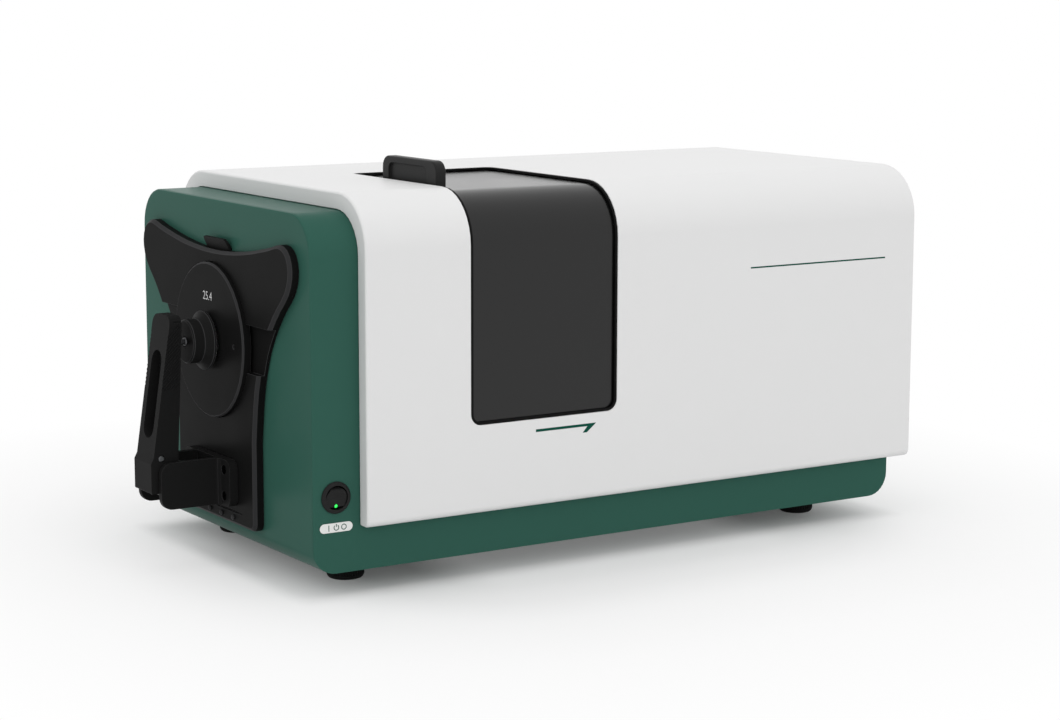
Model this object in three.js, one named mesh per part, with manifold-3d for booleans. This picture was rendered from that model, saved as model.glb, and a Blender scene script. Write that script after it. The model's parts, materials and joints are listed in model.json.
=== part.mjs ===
// Bench colorimeter with a front port and a sliding door over its sample chamber.
// Millimetres, +Z up. The long side with the door faces -Y and the sample port faces -X.
import * as THREE from 'three';
import { mergeVertices } from 'three/addons/utils/BufferGeometryUtils.js';
import Module from 'manifold-3d';

const wasm = await Module();
wasm.setup();

// Driving dimensions. X is measured from the front end of the white cover,
// Y from the middle, Z from the underside of the green body.
const GAP = 0.3; // clearance between pieces that touch
const BORE_GAP = 0.15; // clearance all round a pin in its bore
const REACH = 50; // how far a cutting body runs past what it cuts

const BODY = { front: -35, rear: 457, halfWidth: 131, top: 238, topRadius: 28, wall: 3 };
const BODY_CORNER = 17; // rounding of its two lower ends, seen from the side
const BODY_EDGE = 2; // rounding round its front face
const BLOCK_END = 14; // rear end of its full-height front block
const TRAY_TOP = 44; // top of its low walls behind that block

const COVER = { overhang: 11, above: 12, behind: 13, bottom: 30, radius: 37, hem: 5, wall: 2, edge: 1.2 };
const COVER_SIDE = BODY.halfWidth + COVER.overhang;
const COVER_TOP = BODY.top + COVER.above;
const COVER_END = BODY.rear + COVER.behind;

const FOOT = { height: 16, radius: 13, fromSide: 47, fromFront: 49, fromRear: 50, pocket: 4.6, web: 7 };
const FOOT_SCREW = { shank: 2, head: 4.2, headHeight: 3.7, above: 9 };

const PORT_Z = 142; // axis of the port, the disc, the pusher, the sphere and the beam
const SPHERE = { outer: 54, wall: 4, fromFront: 1, split: 14, collar: 3 };
const SPHERE_X = BODY.front + SPHERE.fromFront + SPHERE.outer;
const SPLIT_X = SPHERE_X + SPHERE.split;
const NECK = { outer: 30.5, inner: 26 };
const PORT_HOLE = 31.5;

const DOOR = { fromSphere: 6, width: 119, sill: 91, back: 26.5, corner: 8, sunk: 2.6, thickness: 2.5, lap: 6 };
const DOOR_TRAVEL = 100;
const DOOR_LEFT = SPHERE_X + SPHERE.outer + DOOR.fromSphere;
const DOOR_RIGHT = DOOR_LEFT + DOOR.width;
const TRIM = { width: 1.6, sunk: 0.35 };
const HANDLE = { fromEdge: 4, thickness: 8, right: -90, left: -14.6, rise: 15.6, radius: 8, edge: 0.8 };
const HANDLE_RECESS = { right: 13, left: 9, top: 4.6, depth: 2, radius: 5 };
const RAIL = { gap: 0.4, beyond: 8, before: 4 };

const PLATE = { thickness: 7.2, chamfer: 2.1, halfWidth: 60, foot: 16.3, footRadius: 6 };
const PLATE_BACK = BODY.front - GAP;
const PLATE_FRONT = PLATE_BACK - PLATE.thickness;
const GRIP = { inner: 48, outer: 130, halfHeight: 16.5, depth: 4.7 };
const GROOVE = { halfWidth: 41, z: 26, halfHeight: 0.8, depth: 1.2 };
const STUD = { z: 21.6, pitch: 18.4, hole: 1.4, shank: 1.15, head: 2.1, proud: 1.7, depth: 2.6 };
const LATCH = { halfWidth: 17.5, bottom: 57.5, fold: 64, top: 70.8, lean: 3.4, thickness: 2.1, gap: 0.45 };
const LATCH_POCKET = { bottom: 54.5, depth: 3.1 };

const DISC = { radius: 54, proud: 3.7, seat: 3, play: 0.4, aperture: 12.7, funnel: 3, edge: 1 };
const DISC_FRONT = PLATE_FRONT - DISC.proud;
const INDEX_HOLE = { y: -40, radius: 1.6, depth: 3 };

const BRACKET = { bottom: 30, top: 62.5, halfWidth: 36, base: 6.2, out: 49.5, inner: 15, wall: 4.3, round: 8 };
const BRACKET_CORNER = 6;
const BRACKET_SCREW = { fromEdge: 7, y: 26.8, head: 3.3, shank: 1.6, socket: 1.2 };
const HINGE = { out: 39.5, z: 47, pin: 3, knuckle: 11 };
const HINGE_X = PLATE_FRONT - HINGE.out;

// The arm's X places are measured from the axis of its hinge.
const ARM = { halfWidth: 14, top: 162, corner: 7, blockTop: 66, blockBottom: 41, blockFront: -15, heel: 8 };
const ARM_FRONT = { top: 1.6, low: -12.9 };
const ARM_REAR = { top: 10.1, low: 5.4 };
const ARM_WINDOW = { halfWidth: 8, bottom: 78, top: 138, floor: 2.6 };
const ARM_STEP = { top: 159.8, bottom: 157.4, depth: 1.2, fromFront: 2.4 };
const KNURL = { count: 9, pitch: 5, top: 152, width: 1.1, depth: 0.5, low: 112, high: 156.4, edge: 8.4 };
const ARM_PIN = { out: 7.3, z: 65, radius: 2.15, proud: 0.5 };
const BALL = { out: 20.1, radius: 3.4, stem: 2, seat: 5 };
const PUSHER = { gap: 2.7, radius: 15.3, flange: 20.5, lip: 17.3, length: 15.1 };
const PAD = { radius: 17, proud: 0.6, seat: 2.3 };

const SWITCH = { fromFront: 17, z: 51.4, bezel: 10.8, hole: 8.2, proud: 2, depth: 16, seat: 9 };
const SWITCH_X = BODY.front + SWITCH.fromFront;
const ROCKER = { radius: 7.7, belly: 7.6, sunk: 3.4, tilt: 7, dish: 19.2, dishOut: 23.8 };
const LENS = { drop: 5.2, radius: 1.25, hole: 1.5, front: 4.9, back: 2.9, holeFloor: 2.6 };
const LABEL = { halfWidth: 12.2, halfHeight: 4.4, below: 20.1, proud: 0.7 };

const INLET = { fromSide: 47, z: 78, halfWidth: 13.6, halfHeight: 10.1, depth: 24, flange: 3 };
const INLET_Y = BODY.halfWidth - INLET.fromSide;
const INLET_MOUTH = { halfWidth: 11, halfHeight: 7.5, shoulder: 7, depth: 17 };
const DATA = { y: 36, z: 72, halfWidth: 6.1, halfHeight: 5.6, depth: 16 };
const VENT = { rows: 2, columns: 8, left: -88, bottom: 136, pitch: 11, rowPitch: 42, width: 4, height: 32 };

const CHAMBER = { beside: 1.5, behind: 3, below: 3, wall: 2 };
const CHAMBER_LEFT = DOOR_LEFT - CHAMBER.beside;
const CHAMBER_RIGHT = DOOR_RIGHT + CHAMBER.beside;
const CHAMBER_BACK = DOOR.back + CHAMBER.behind;
const CHAMBER_FLOOR = DOOR.sill - CHAMBER.below;
const BEAM = { hole: 17.5, radius: 13 };
const HOLDER = { fromLeft: 53.5, front: -34, rear: 18, base: 6, thickness: 3, top: 182, lip: 6, lipTop: 120 };
const BARREL = { radius: 17, flange: 20, wall: 4, length: 12 };
const BEAM_LENS = { radius: 12.6, rim: 2.4, dome: 2.6 };

const DECK = { top: 49, thickness: 3, front: -2, rear: 345, fromWall: 10, legInset: 10, leg: 5 };
const DECK_HALF_WIDTH = BODY.halfWidth - BODY.wall - DECK.fromWall;
const STAND = { halfLength: 18, halfWidth: 34, plate: 4, saddle: 4, saddleHalfWidth: 30, saddleTop: 104 };
const LAMP = { radius: 17, inner: 14, hole: 9.5, underBody: 4, roof: 3, neck: 58, fin: 19.5, finPitch: 7 };
const TUBE = { radius: 5, base: 7, baseHeight: 7, length: 23 };
const CASE = { fromChamber: 19.5, length: 110, right: -60, left: 80, top: 140, wall: 3, corner: 6 };
const SLIT = { y: 40, z: 102, radius: 3.5 };
const GRATING = { fromEnd: 8, thickness: 18, right: -20, left: 30, height: 67.3, curve: 74 };
const BOARD = { front: 50, rear: 312, halfWidth: 90, bottom: 13, top: 15, post: 4 };
const SUPPLY = { fromRear: 14, length: 86, fromSide: 6, width: 98, bottom: 11, top: 52, wall: 2, foot: 3 };

// Solids: three.js geometry in, one closed body out.

function solid(geometry) {
  const bare = geometry.index ? geometry.toNonIndexed() : geometry;
  for (const name of Object.keys(bare.attributes)) if (name !== 'position') bare.deleteAttribute(name);
  const merged = mergeVertices(bare, 1e-4);
  const mesh = new wasm.Mesh({
    numProp: 3,
    vertProperties: new Float32Array(merged.attributes.position.array),
    triVerts: new Uint32Array(merged.index.array),
  });
  mesh.merge();
  return new wasm.Manifold(mesh);
}

function surface(body) {
  const mesh = body.getMesh();
  const geometry = new THREE.BufferGeometry();
  geometry.setAttribute('position', new THREE.BufferAttribute(new Float32Array(mesh.vertProperties), 3));
  geometry.setIndex(new THREE.BufferAttribute(new Uint32Array(mesh.triVerts), 1));
  const flat = geometry.toNonIndexed();
  flat.computeVertexNormals();
  return flat;
}

const join = (...bodies) => bodies.reduce((all, one) => all.add(one));
const cut = (body, ...tools) => tools.reduce((rest, tool) => rest.subtract(tool), body);

function box(x0, x1, y0, y1, z0, z1) {
  const geometry = new THREE.BoxGeometry(x1 - x0, y1 - y0, z1 - z0);
  geometry.translate((x0 + x1) / 2, (y0 + y1) / 2, (z0 + z1) / 2);
  return solid(geometry);
}

// Frame of a section: its two drawing axes and the axis that it is extruded along.
const FRAMES = {
  x: [new THREE.Vector3(0, 1, 0), new THREE.Vector3(0, 0, 1), new THREE.Vector3(1, 0, 0)],
  y: [new THREE.Vector3(1, 0, 0), new THREE.Vector3(0, 0, 1), new THREE.Vector3(0, -1, 0)],
  z: [new THREE.Vector3(1, 0, 0), new THREE.Vector3(0, 1, 0), new THREE.Vector3(0, 0, 1)],
};

function oriented(geometry, axis) {
  return geometry.applyMatrix4(new THREE.Matrix4().makeBasis(...FRAMES[axis]));
}

// Section points extruded along an axis: (y, z) for x, (x, z) for y, (x, y) for z.
function prism(points, axis, from, to) {
  const shape = new THREE.Shape(points.map(([u, v]) => new THREE.Vector2(u, v)));
  const geometry = new THREE.ExtrudeGeometry(shape, { depth: to - from, bevelEnabled: false, steps: 1 });
  geometry.translate(0, 0, axis === 'y' ? -to : from);
  return solid(oriented(geometry, axis));
}

// Profile of [radius, distance] pairs turned about an axis through a point.
function turned(profile, axis, [x, y, z], segments = 32) {
  const closed = [...profile];
  const [firstRadius] = profile[0];
  const [lastRadius] = profile[profile.length - 1];
  if (firstRadius > 0 || lastRadius > 0) closed.push(profile[0]);
  const points = closed.map(([r, d]) => new THREE.Vector2(r, d));
  const area = points.reduce((sum, p, i) => {
    const q = points[(i + 1) % points.length];
    return sum + p.x * q.y - q.x * p.y;
  }, 0);
  if (area < 0) points.reverse();
  const geometry = new THREE.LatheGeometry(points, segments);
  geometry.rotateX(Math.PI / 2);
  if (axis === 'x') geometry.rotateY(Math.PI / 2);
  if (axis === 'y') geometry.rotateX(-Math.PI / 2);
  geometry.translate(x, y, z);
  return solid(geometry);
}

const rod = (axis, at, radius, from, to, segments = 24) =>
  turned([[0, from], [radius, from], [radius, to], [0, to]], axis, at, segments);

const tube = (axis, at, inner, outer, from, to, segments = 32) =>
  turned([[inner, from], [outer, from], [outer, to], [inner, to]], axis, at, segments);

// Corners [u, v, radius, steps] turned into a polygon with rounded corners.
function rounded(corners, steps = 8) {
  const points = [];
  corners.forEach(([u, v, radius = 0, arcs = steps], i) => {
    if (!radius) {
      points.push([u, v]);
      return;
    }
    const [pu, pv] = corners[(i + corners.length - 1) % corners.length];
    const [nu, nv] = corners[(i + 1) % corners.length];
    const here = new THREE.Vector2(u, v);
    const back = new THREE.Vector2(pu, pv).sub(here).normalize();
    const ahead = new THREE.Vector2(nu, nv).sub(here).normalize();
    const half = Math.acos(THREE.MathUtils.clamp(back.dot(ahead), -1, 1)) / 2;
    const middle = back.clone().add(ahead).normalize();
    const centre = here.clone().addScaledVector(middle, radius / Math.sin(half));
    const start = here.clone().addScaledVector(back, radius / Math.tan(half)).sub(centre);
    const turn = (2 * half - Math.PI) * Math.sign(back.cross(ahead));
    for (let k = 0; k <= arcs; k++) {
      const p = start.clone().rotateAround(new THREE.Vector2(), (turn * k) / arcs).add(centre);
      points.push([p.x, p.y]);
    }
  });
  return points;
}

const rectangle = (u0, u1, v0, v1, radius = 0, steps = 6) =>
  rounded([[u0, v0, radius], [u1, v0, radius], [u1, v1, radius], [u0, v1, radius]], steps);

// Rings of matching points joined into a closed body; caps are the first and last ring.
function loft(rings) {
  const count = rings[0].length;
  const positions = rings.flat().flat();
  const index = [];
  for (let k = 0; k + 1 < rings.length; k++) {
    for (let i = 0; i < count; i++) {
      const a = k * count + i;
      const b = k * count + ((i + 1) % count);
      index.push(a, b, b + count, a, b + count, a + count);
    }
  }
  const outline = rings[0].map(dropped(rings[0]));
  const sense = THREE.ShapeUtils.area(outline) > 0;
  const last = (rings.length - 1) * count;
  for (const [a, b, c] of THREE.ShapeUtils.triangulateShape(outline, [])) {
    if (sense) index.push(a, c, b, last + a, last + b, last + c);
    else index.push(a, b, c, last + a, last + c, last + b);
  }
  const geometry = new THREE.BufferGeometry();
  geometry.setAttribute('position', new THREE.Float32BufferAttribute(positions, 3));
  geometry.setIndex(index);
  const body = solid(geometry);
  if (body.volume() > 0) return body;
  geometry.setIndex(index.reverse());
  return solid(geometry);
}

// Flattens a ring onto the two axes in which it is drawn, keeping its sense of turning.
function dropped(ring) {
  const spread = [0, 1, 2].map((n) => Math.max(...ring.map((p) => p[n])) - Math.min(...ring.map((p) => p[n])));
  if (spread[0] < 1e-6) return ([, y, z]) => new THREE.Vector2(y, z);
  if (spread[1] < 1e-6) return ([x, , z]) => new THREE.Vector2(z, x);
  return ([x, y]) => new THREE.Vector2(x, y);
}

// Moves every point of a closed outline inwards; the outline turns anticlockwise.
function inset(points, distance) {
  return points.map(([u, v], i) => {
    const [pu, pv] = points[(i + points.length - 1) % points.length];
    const [nu, nv] = points[(i + 1) % points.length];
    const before = new THREE.Vector2(u - pu, v - pv).normalize();
    const after = new THREE.Vector2(nu - u, nv - v).normalize();
    const normal = new THREE.Vector2(-before.y - after.y, before.x + after.x).normalize();
    const reach = distance / Math.max(0.3, normal.dot(new THREE.Vector2(-before.y, before.x)));
    return [u + normal.x * reach, v + normal.y * reach];
  });
}

const along = (x, section) => section.map(([y, z]) => [x, y, z]);

// Section (y, z) of the cover, moved inwards by a distance.
function coverSection(offset) {
  const y = COVER_SIDE - offset;
  const bottom = COVER.bottom + offset;
  const top = COVER_TOP - offset;
  const hem = Math.max(0.5, COVER.hem - offset);
  const radius = COVER.radius - offset;
  return rounded([[-y, bottom, hem, 4], [y, bottom, hem, 4], [y, top, radius], [-y, top, radius]], 9);
}

// Section (y, z) of the green body, grown outwards by a distance.
function bodySection(grow, bottom = 0) {
  const y = BODY.halfWidth + grow;
  const top = BODY.top + grow;
  const radius = BODY.topRadius + grow;
  return rounded([[-y, bottom], [y, bottom], [y, top, radius], [-y, top, radius]], 8);
}

// Profile (x, z) of the green body with its two rounded lower corners, moved inwards by a distance.
function bodyProfile(offset) {
  const front = BODY.front + offset;
  const rear = BODY.rear - offset;
  const top = BODY.top + REACH;
  const radius = BODY_CORNER - offset;
  return rounded([[front, offset, radius], [rear, offset, radius], [rear, top], [front, top]], 8);
}

// Shell of the cover's section between two depths below its surface.
function coverSkin(outer, inner) {
  return cut(
    prism(coverSection(outer), 'x', -REACH, COVER_END + REACH),
    prism(coverSection(inner), 'x', -2 * REACH, COVER_END + 2 * REACH),
  );
}

// Space of the door opening over the cover's side and top, grown outwards by a distance.
function doorOpening(grow, corner = DOOR.corner + grow) {
  const left = DOOR_LEFT - grow;
  const right = DOOR_RIGHT + grow;
  const sill = DOOR.sill - grow;
  const back = DOOR.back + grow;
  const high = COVER_TOP + REACH;
  const out = -COVER_SIDE - REACH;
  const side = prism(rounded([[left, sill, corner], [right, sill, corner], [right, high], [left, high]]),
    'y', out, COVER.radius - COVER_SIDE);
  const top = prism(rounded([[left, out], [right, out], [right, back, corner], [left, back, corner]]),
    'z', COVER_TOP - COVER.radius, high);
  return join(side, top);
}

// Housing

function whiteCover() {
  const { edge, wall } = COVER;
  const outside = loft([
    along(0, coverSection(edge)),
    along(edge, coverSection(0)),
    along(COVER_END - edge, coverSection(0)),
    along(COVER_END, coverSection(edge)),
  ]);
  return cut(
    outside,
    prism(coverSection(wall), 'x', wall, COVER_END - wall),
    prism(bodySection(GAP, -REACH), 'x', -REACH, COVER_END + REACH),
    doorOpening(0),
  );
}

function doorTrim() {
  const ring = cut(doorOpening(-GAP), doorOpening(-GAP - TRIM.width));
  return coverSkin(TRIM.sunk, COVER.wall).intersect(ring);
}

function chassis() {
  const { front, rear, halfWidth, wall } = BODY;
  const edge = (share) => {
    const angle = (share * Math.PI) / 2;
    return along(front + BODY_EDGE * (1 - Math.sin(angle)), bodySection(BODY_EDGE * (Math.cos(angle) - 1)));
  };
  const block = loft([along(BLOCK_END, bodySection(0)), edge(0), edge(0.5), edge(1)]);
  const tray = box(front + BODY_CORNER, rear, -halfWidth, halfWidth, 0, TRAY_TOP);
  const outside = join(block, tray).intersect(prism(bodyProfile(0), 'y', -halfWidth - REACH, halfWidth + REACH));
  const inside = prism(bodySection(-wall, wall), 'x', front + wall, rear - wall)
    .intersect(prism(bodyProfile(wall), 'y', -halfWidth - REACH, halfWidth + REACH));
  const posts = [BOARD.front + 10, BOARD.rear - 12].flatMap((x) =>
    [-1, 1].map((side) => rod('z', [x, side * (BOARD.halfWidth - 10), 0], BOARD.post, 1, BOARD.bottom, 8)));
  const port = rod('x', [0, 0, PORT_Z], PORT_HOLE, front - REACH, front + 10, 24);
  const switchHole = rod('y', [SWITCH_X, 0, SWITCH.z], SWITCH.bezel - 1, -halfWidth - REACH, 10 - halfWidth, 32);
  const footHoles = footPlaces().map(([x, y]) => rod('z', [x, y, 0], FOOT_SCREW.shank + GAP, -REACH, 10, 8));
  return cut(join(cut(outside, inside), ...posts), port, switchHole, ...footHoles);
}

function rearPanel() {
  const { rear, wall } = BODY;
  const panel = prism(bodySection(0, TRAY_TOP + GAP), 'x', rear - wall, rear);
  const window = ({ y, z, halfWidth, halfHeight }) =>
    box(rear - REACH, rear + REACH, y - halfWidth, y + halfWidth, z - halfHeight, z + halfHeight);
  const vents = [];
  for (let row = 0; row < VENT.rows; row++) {
    for (let column = 0; column < VENT.columns; column++) {
      const y = VENT.left + column * VENT.pitch;
      const z = VENT.bottom + row * VENT.rowPitch;
      const slot = rectangle(y - VENT.width / 2, y + VENT.width / 2, z, z + VENT.height, 1.6, 1);
      vents.push(prism(slot, 'x', rear - REACH, rear + REACH));
    }
  }
  return cut(panel, window({ ...INLET, y: INLET_Y }), window(DATA), ...vents);
}

function powerInlet() {
  const { z, depth, flange } = INLET;
  const y = INLET_Y;
  const { rear } = BODY;
  const w = INLET.halfWidth - GAP;
  const h = INLET.halfHeight - GAP;
  const rim = prism(rectangle(y - w - 4, y + w + 4, z - h - 3, z + h + 3, 3, 3), 'x', rear + GAP, rear + flange);
  const body = box(rear - depth, rear + 1, y - w, y + w, z - h, z + h);
  const m = INLET_MOUTH;
  const mouth = prism(rounded([
    [y - m.halfWidth, z - m.halfHeight, 1], [y + m.halfWidth, z - m.halfHeight, 1], [y + m.halfWidth, z + 3, 1],
    [y + m.shoulder, z + m.halfHeight, 1], [y - m.shoulder, z + m.halfHeight, 1], [y - m.halfWidth, z + 3, 1],
  ], 2), 'x', rear - m.depth, rear + REACH);
  const blades = [[-7, -1.5], [0, 2.5], [7, -1.5]].map(([dy, dz]) =>
    box(rear - m.depth - 1, rear - 2, y + dy - 1, y + dy + 1, z + dz - 2, z + dz + 2));
  return join(cut(join(rim, body), mouth), ...blades);
}

function dataSocket() {
  const { y, z, depth } = DATA;
  const { rear } = BODY;
  const wall = 0.8;
  const w = DATA.halfWidth - GAP;
  const h = DATA.halfHeight - GAP;
  const body = box(rear - depth, rear + wall, y - w, y + w, z - h, z + h);
  const mouth = box(rear - depth + 5, rear + REACH, y - w + wall, y + w - wall, z - h + wall, z + h - wall);
  const tongue = box(rear - depth + 4, rear - 2, y - 2.8, y + 2.8, z - 1.6, z + 1.6);
  return join(cut(body, mouth), tongue);
}

function footPlaces() {
  const y = BODY.halfWidth - FOOT.fromSide;
  return [BODY.front + FOOT.fromFront, BODY.rear - FOOT.fromRear].flatMap((x) => [[x, -y], [x, y]]);
}

function foot([x, y]) {
  const { height, radius, pocket, web } = FOOT;
  const pad = turned([[0, -GAP], [radius, -GAP], [radius, 3 - height], [radius - 0.8, 1 - height],
    [radius - 2.6, -height], [0, -height]], 'z', [x, y, 0], 16);
  const room = rod('z', [x, y, 0], pocket, -height - REACH, -web, 10);
  const hole = rod('z', [x, y, 0], FOOT_SCREW.shank + GAP, -height, 5, 8);
  return cut(pad, room, hole);
}

function footScrew([x, y]) {
  const { shank, head, headHeight, above } = FOOT_SCREW;
  const seat = -FOOT.web - GAP;
  const low = seat - headHeight;
  return turned([[0, low + 1], [1.2, low + 1], [1.6, low], [head - 0.3, low], [head, low + 0.6], [head, seat],
    [shank, seat], [shank, above - 1], [shank - 0.6, above], [0, above]], 'z', [x, y, 0], 8);
}

// Power switch on the side of the front block

function switchBezel() {
  const at = [SWITCH_X, 0, SWITCH.z];
  const face = -BODY.halfWidth;
  const { bezel, hole, proud, depth, seat } = SWITCH;
  const body = bezel - 1.3;
  const ring = turned([[hole, face - proud], [bezel - 1.1, face - proud], [bezel, face - 1], [bezel, face - GAP],
    [body, face - GAP], [body, face + depth], [0, face + depth], [0, face + seat], [hole, face + seat]], 'y', at, 24);
  const lugs = [-4, 4].map((dx) =>
    box(SWITCH_X + dx - 0.4, SWITCH_X + dx + 0.4, face + depth - 1, face + depth + 7, SWITCH.z - 2.4, SWITCH.z + 2.4));
  return join(ring, ...lugs);
}

// The rocker and its lens share one frame: x across, y out of the panel, z up, at the rocker's pivot.
function rocker() {
  const halfWidth = 12;
  const cap = rod('y', [0, 0, 0], ROCKER.radius, -5.8, 1.2, 24);
  const dish = rod('x', [0, -ROCKER.dishOut, 0], ROCKER.dish, -halfWidth, halfWidth, 72);
  const belly = rod('x', [0, 0, 0], ROCKER.belly, -halfWidth, halfWidth, 40);
  const lens = rod('y', [0, 0, -LENS.drop], LENS.hole, -halfWidth, -LENS.holeFloor, 16);
  return cut(cap.intersect(belly), dish, lens);
}

function switchLens() {
  const { radius, front, back } = LENS;
  return turned([[0, -front], [0.8, 0.1 - front], [radius, 0.4 - front], [radius, -back], [0, -back]],
    'y', [0, 0, -LENS.drop], 16);
}

function powerLabel() {
  const { halfWidth, halfHeight, below, proud } = LABEL;
  const z = SWITCH.z - below;
  const outline = rectangle(SWITCH_X - halfWidth, SWITCH_X + halfWidth, z - halfHeight, z + halfHeight,
    halfHeight - 0.1, 5);
  return prism(outline, 'y', -BODY.halfWidth - proud, -BODY.halfWidth - GAP);
}

// Sample port on the front face

// One side of the plate's horn as (y, height over the port's axis), from its root to the straight side below.
const HORN = [
  [62, 67.3], [84, 71.3], [101, 74.7], [112.4, 69.5], [116.5, 57], [110.9, 42.4], [95, 26.7], [81, 9], [72.2, -7.4],
  [64.6, -31.6], [60.2, -64],
];

function plateOutline() {
  const horn = new THREE.SplineCurve(HORN.map(([y, rise]) => new THREE.Vector2(y, PORT_Z + rise)))
    .getPoints(26).map((p) => [p.x, p.y]);
  const top = [0, 12, 24, 36, 48].map((y) => [y, PORT_Z + 62.3 + (y * y) / 770]);
  const side = PLATE.halfWidth;
  const foot = rounded([[side, PORT_Z - 64], [side, PLATE.foot, PLATE.footRadius], [0, PLATE.foot]], 5).slice(1, -1);
  const half = [...top, ...horn, ...foot];
  const other = half.slice(1).map(([y, z]) => [-y, z]);
  return [...half.reverse(), ...other];
}

function portPlate() {
  const outline = plateOutline();
  const front = PLATE_FRONT;
  const ahead = front - REACH;
  const body = loft([
    along(front, inset(outline, PLATE.chamfer)),
    along(front + PLATE.chamfer, outline),
    along(PLATE_BACK, outline),
  ]);
  const seat = rod('x', [0, 0, PORT_Z], DISC.radius + DISC.play, ahead, front + DISC.seat, 40);
  const hole = rod('x', [0, 0, PORT_Z], PORT_HOLE, ahead, front + REACH, 24);
  const grips = [[-GRIP.outer, -GRIP.inner], [GRIP.inner, GRIP.outer]].map(([y0, y1]) =>
    box(ahead, front + GRIP.depth, y0, y1, PORT_Z - GRIP.halfHeight, PORT_Z + GRIP.halfHeight));
  const groove = box(ahead, front + GROOVE.depth, -GROOVE.halfWidth, GROOVE.halfWidth,
    GROOVE.z - GROOVE.halfHeight, GROOVE.z + GROOVE.halfHeight);
  const latchRoom = LATCH.halfWidth + GAP;
  const latchPocket = box(PLATE_BACK - LATCH_POCKET.depth, REACH, -latchRoom, latchRoom,
    PORT_Z + LATCH_POCKET.bottom, BODY.top);
  const studs = studPlaces().map((y) => rod('x', [0, y, STUD.z], STUD.hole, ahead, front + 3, 8));
  return cut(body, seat, hole, ...grips, groove, latchPocket, ...studs);
}

function portLatch() {
  const { halfWidth, lean, thickness, gap } = LATCH;
  const [bottom, fold, top] = [LATCH.bottom, LATCH.fold, LATCH.top].map((rise) => PORT_Z + rise);
  const back = BODY.front - gap;
  const profile = prism([
    [back - thickness, bottom], [back - thickness, fold - 0.6], [back - lean - thickness, top - 0.4],
    [back - lean, top], [back, fold], [back, bottom],
  ], 'y', -halfWidth, halfWidth);
  const outline = prism(rectangle(-halfWidth, halfWidth, bottom - 20, top + 0.1, 4, 6), 'x', back - REACH, REACH);
  return profile.intersect(outline);
}

const studPlaces = () => [-1.5, -0.5, 0.5, 1.5].map((k) => k * STUD.pitch);

function baseStud(y) {
  const x = PLATE_FRONT;
  const { shank, head, proud, depth } = STUD;
  return turned([[0, x - proud], [head - 1, x - proud + 0.2], [head - 0.2, x - 0.9], [head, x - GAP],
    [shank, x - GAP], [shank, x + depth], [0, x + depth]], 'x', [0, y, STUD.z], 8);
}

function apertureDisc() {
  const front = DISC_FRONT;
  const back = PLATE_FRONT + DISC.seat - GAP;
  const { radius, aperture, funnel, edge } = DISC;
  const disc = turned([[aperture + funnel, front], [radius - edge, front], [radius, front + edge], [radius, back],
    [aperture, back], [aperture, front + funnel]], 'x', [0, 0, PORT_Z], 40);
  const index = rod('x', [0, INDEX_HOLE.y, PORT_Z], INDEX_HOLE.radius, front - REACH, front + INDEX_HOLE.depth, 12);
  return cut(disc, index);
}

// Pivot bracket, arm and pusher

function bracketScrewPlaces() {
  const { y, fromEdge } = BRACKET_SCREW;
  return [-y, y].flatMap((side) => [[side, BRACKET.bottom + fromEdge], [side, BRACKET.top - fromEdge]]);
}

function bracket() {
  const { bottom, top, halfWidth, base, out, inner, wall, round } = BRACKET;
  const back = PLATE_FRONT - GAP;
  const front = back - base;
  const reach = PLATE_FRONT - out;
  const plate = prism(rectangle(-halfWidth, halfWidth, bottom, top, BRACKET_CORNER, 4), 'x', front, back);
  const cheek = rounded([[reach, bottom, round], [back - 1, bottom], [back - 1, top], [reach, top, round]], 6);
  const cheeks = [prism(cheek, 'y', -inner - wall, -inner), prism(cheek, 'y', inner, inner + wall)];
  const web = inner + wall;
  const fillet = [[front + 1, web + 3], [front, web + 3], [front - 1.2, web + 0.8], [front - 3, web], [front - 3, web - 1],
    [front + 1, web - 1]];
  const webs = [
    prism(fillet, 'z', bottom, top),
    prism(fillet.map(([x, y]) => [x, -y]).reverse(), 'z', bottom, top),
  ];
  const pin = rod('y', [HINGE_X, 0, HINGE.z], HINGE.pin + BORE_GAP, -inner - 3, inner + 3, 16);
  const { head, shank } = BRACKET_SCREW;
  const screws = bracketScrewPlaces().map(([y, z]) =>
    turned([[0, front - 1], [head + GAP, front - 1], [head + GAP, front + 0.2], [shank + GAP, front + 2.1],
      [shank + GAP, back + 1], [0, back + 1]], 'x', [0, y, z], 12));
  return cut(join(plate, ...cheeks, ...webs), pin, ...screws);
}

function bracketScrew([y, z]) {
  const { head, shank, socket } = BRACKET_SCREW;
  const back = PLATE_FRONT - GAP - 0.1;
  const front = PLATE_FRONT - GAP - BRACKET.base + 0.1;
  const screw = turned([[0, front], [head, front], [shank, front + 2.3], [shank, back], [0, back]],
    'x', [0, y, z], 12);
  return cut(screw, rod('x', [0, y, z], socket, front - 1, front + 1.4, 6));
}

function hingePin() {
  const end = BRACKET.inner + 2.7;
  const r = HINGE.pin;
  return turned([[0, -end], [r - 0.5, -end], [r, 0.5 - end], [r, end - 0.5], [r - 0.5, end], [0, end]],
    'y', [HINGE_X, 0, HINGE.z], 16);
}

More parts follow.
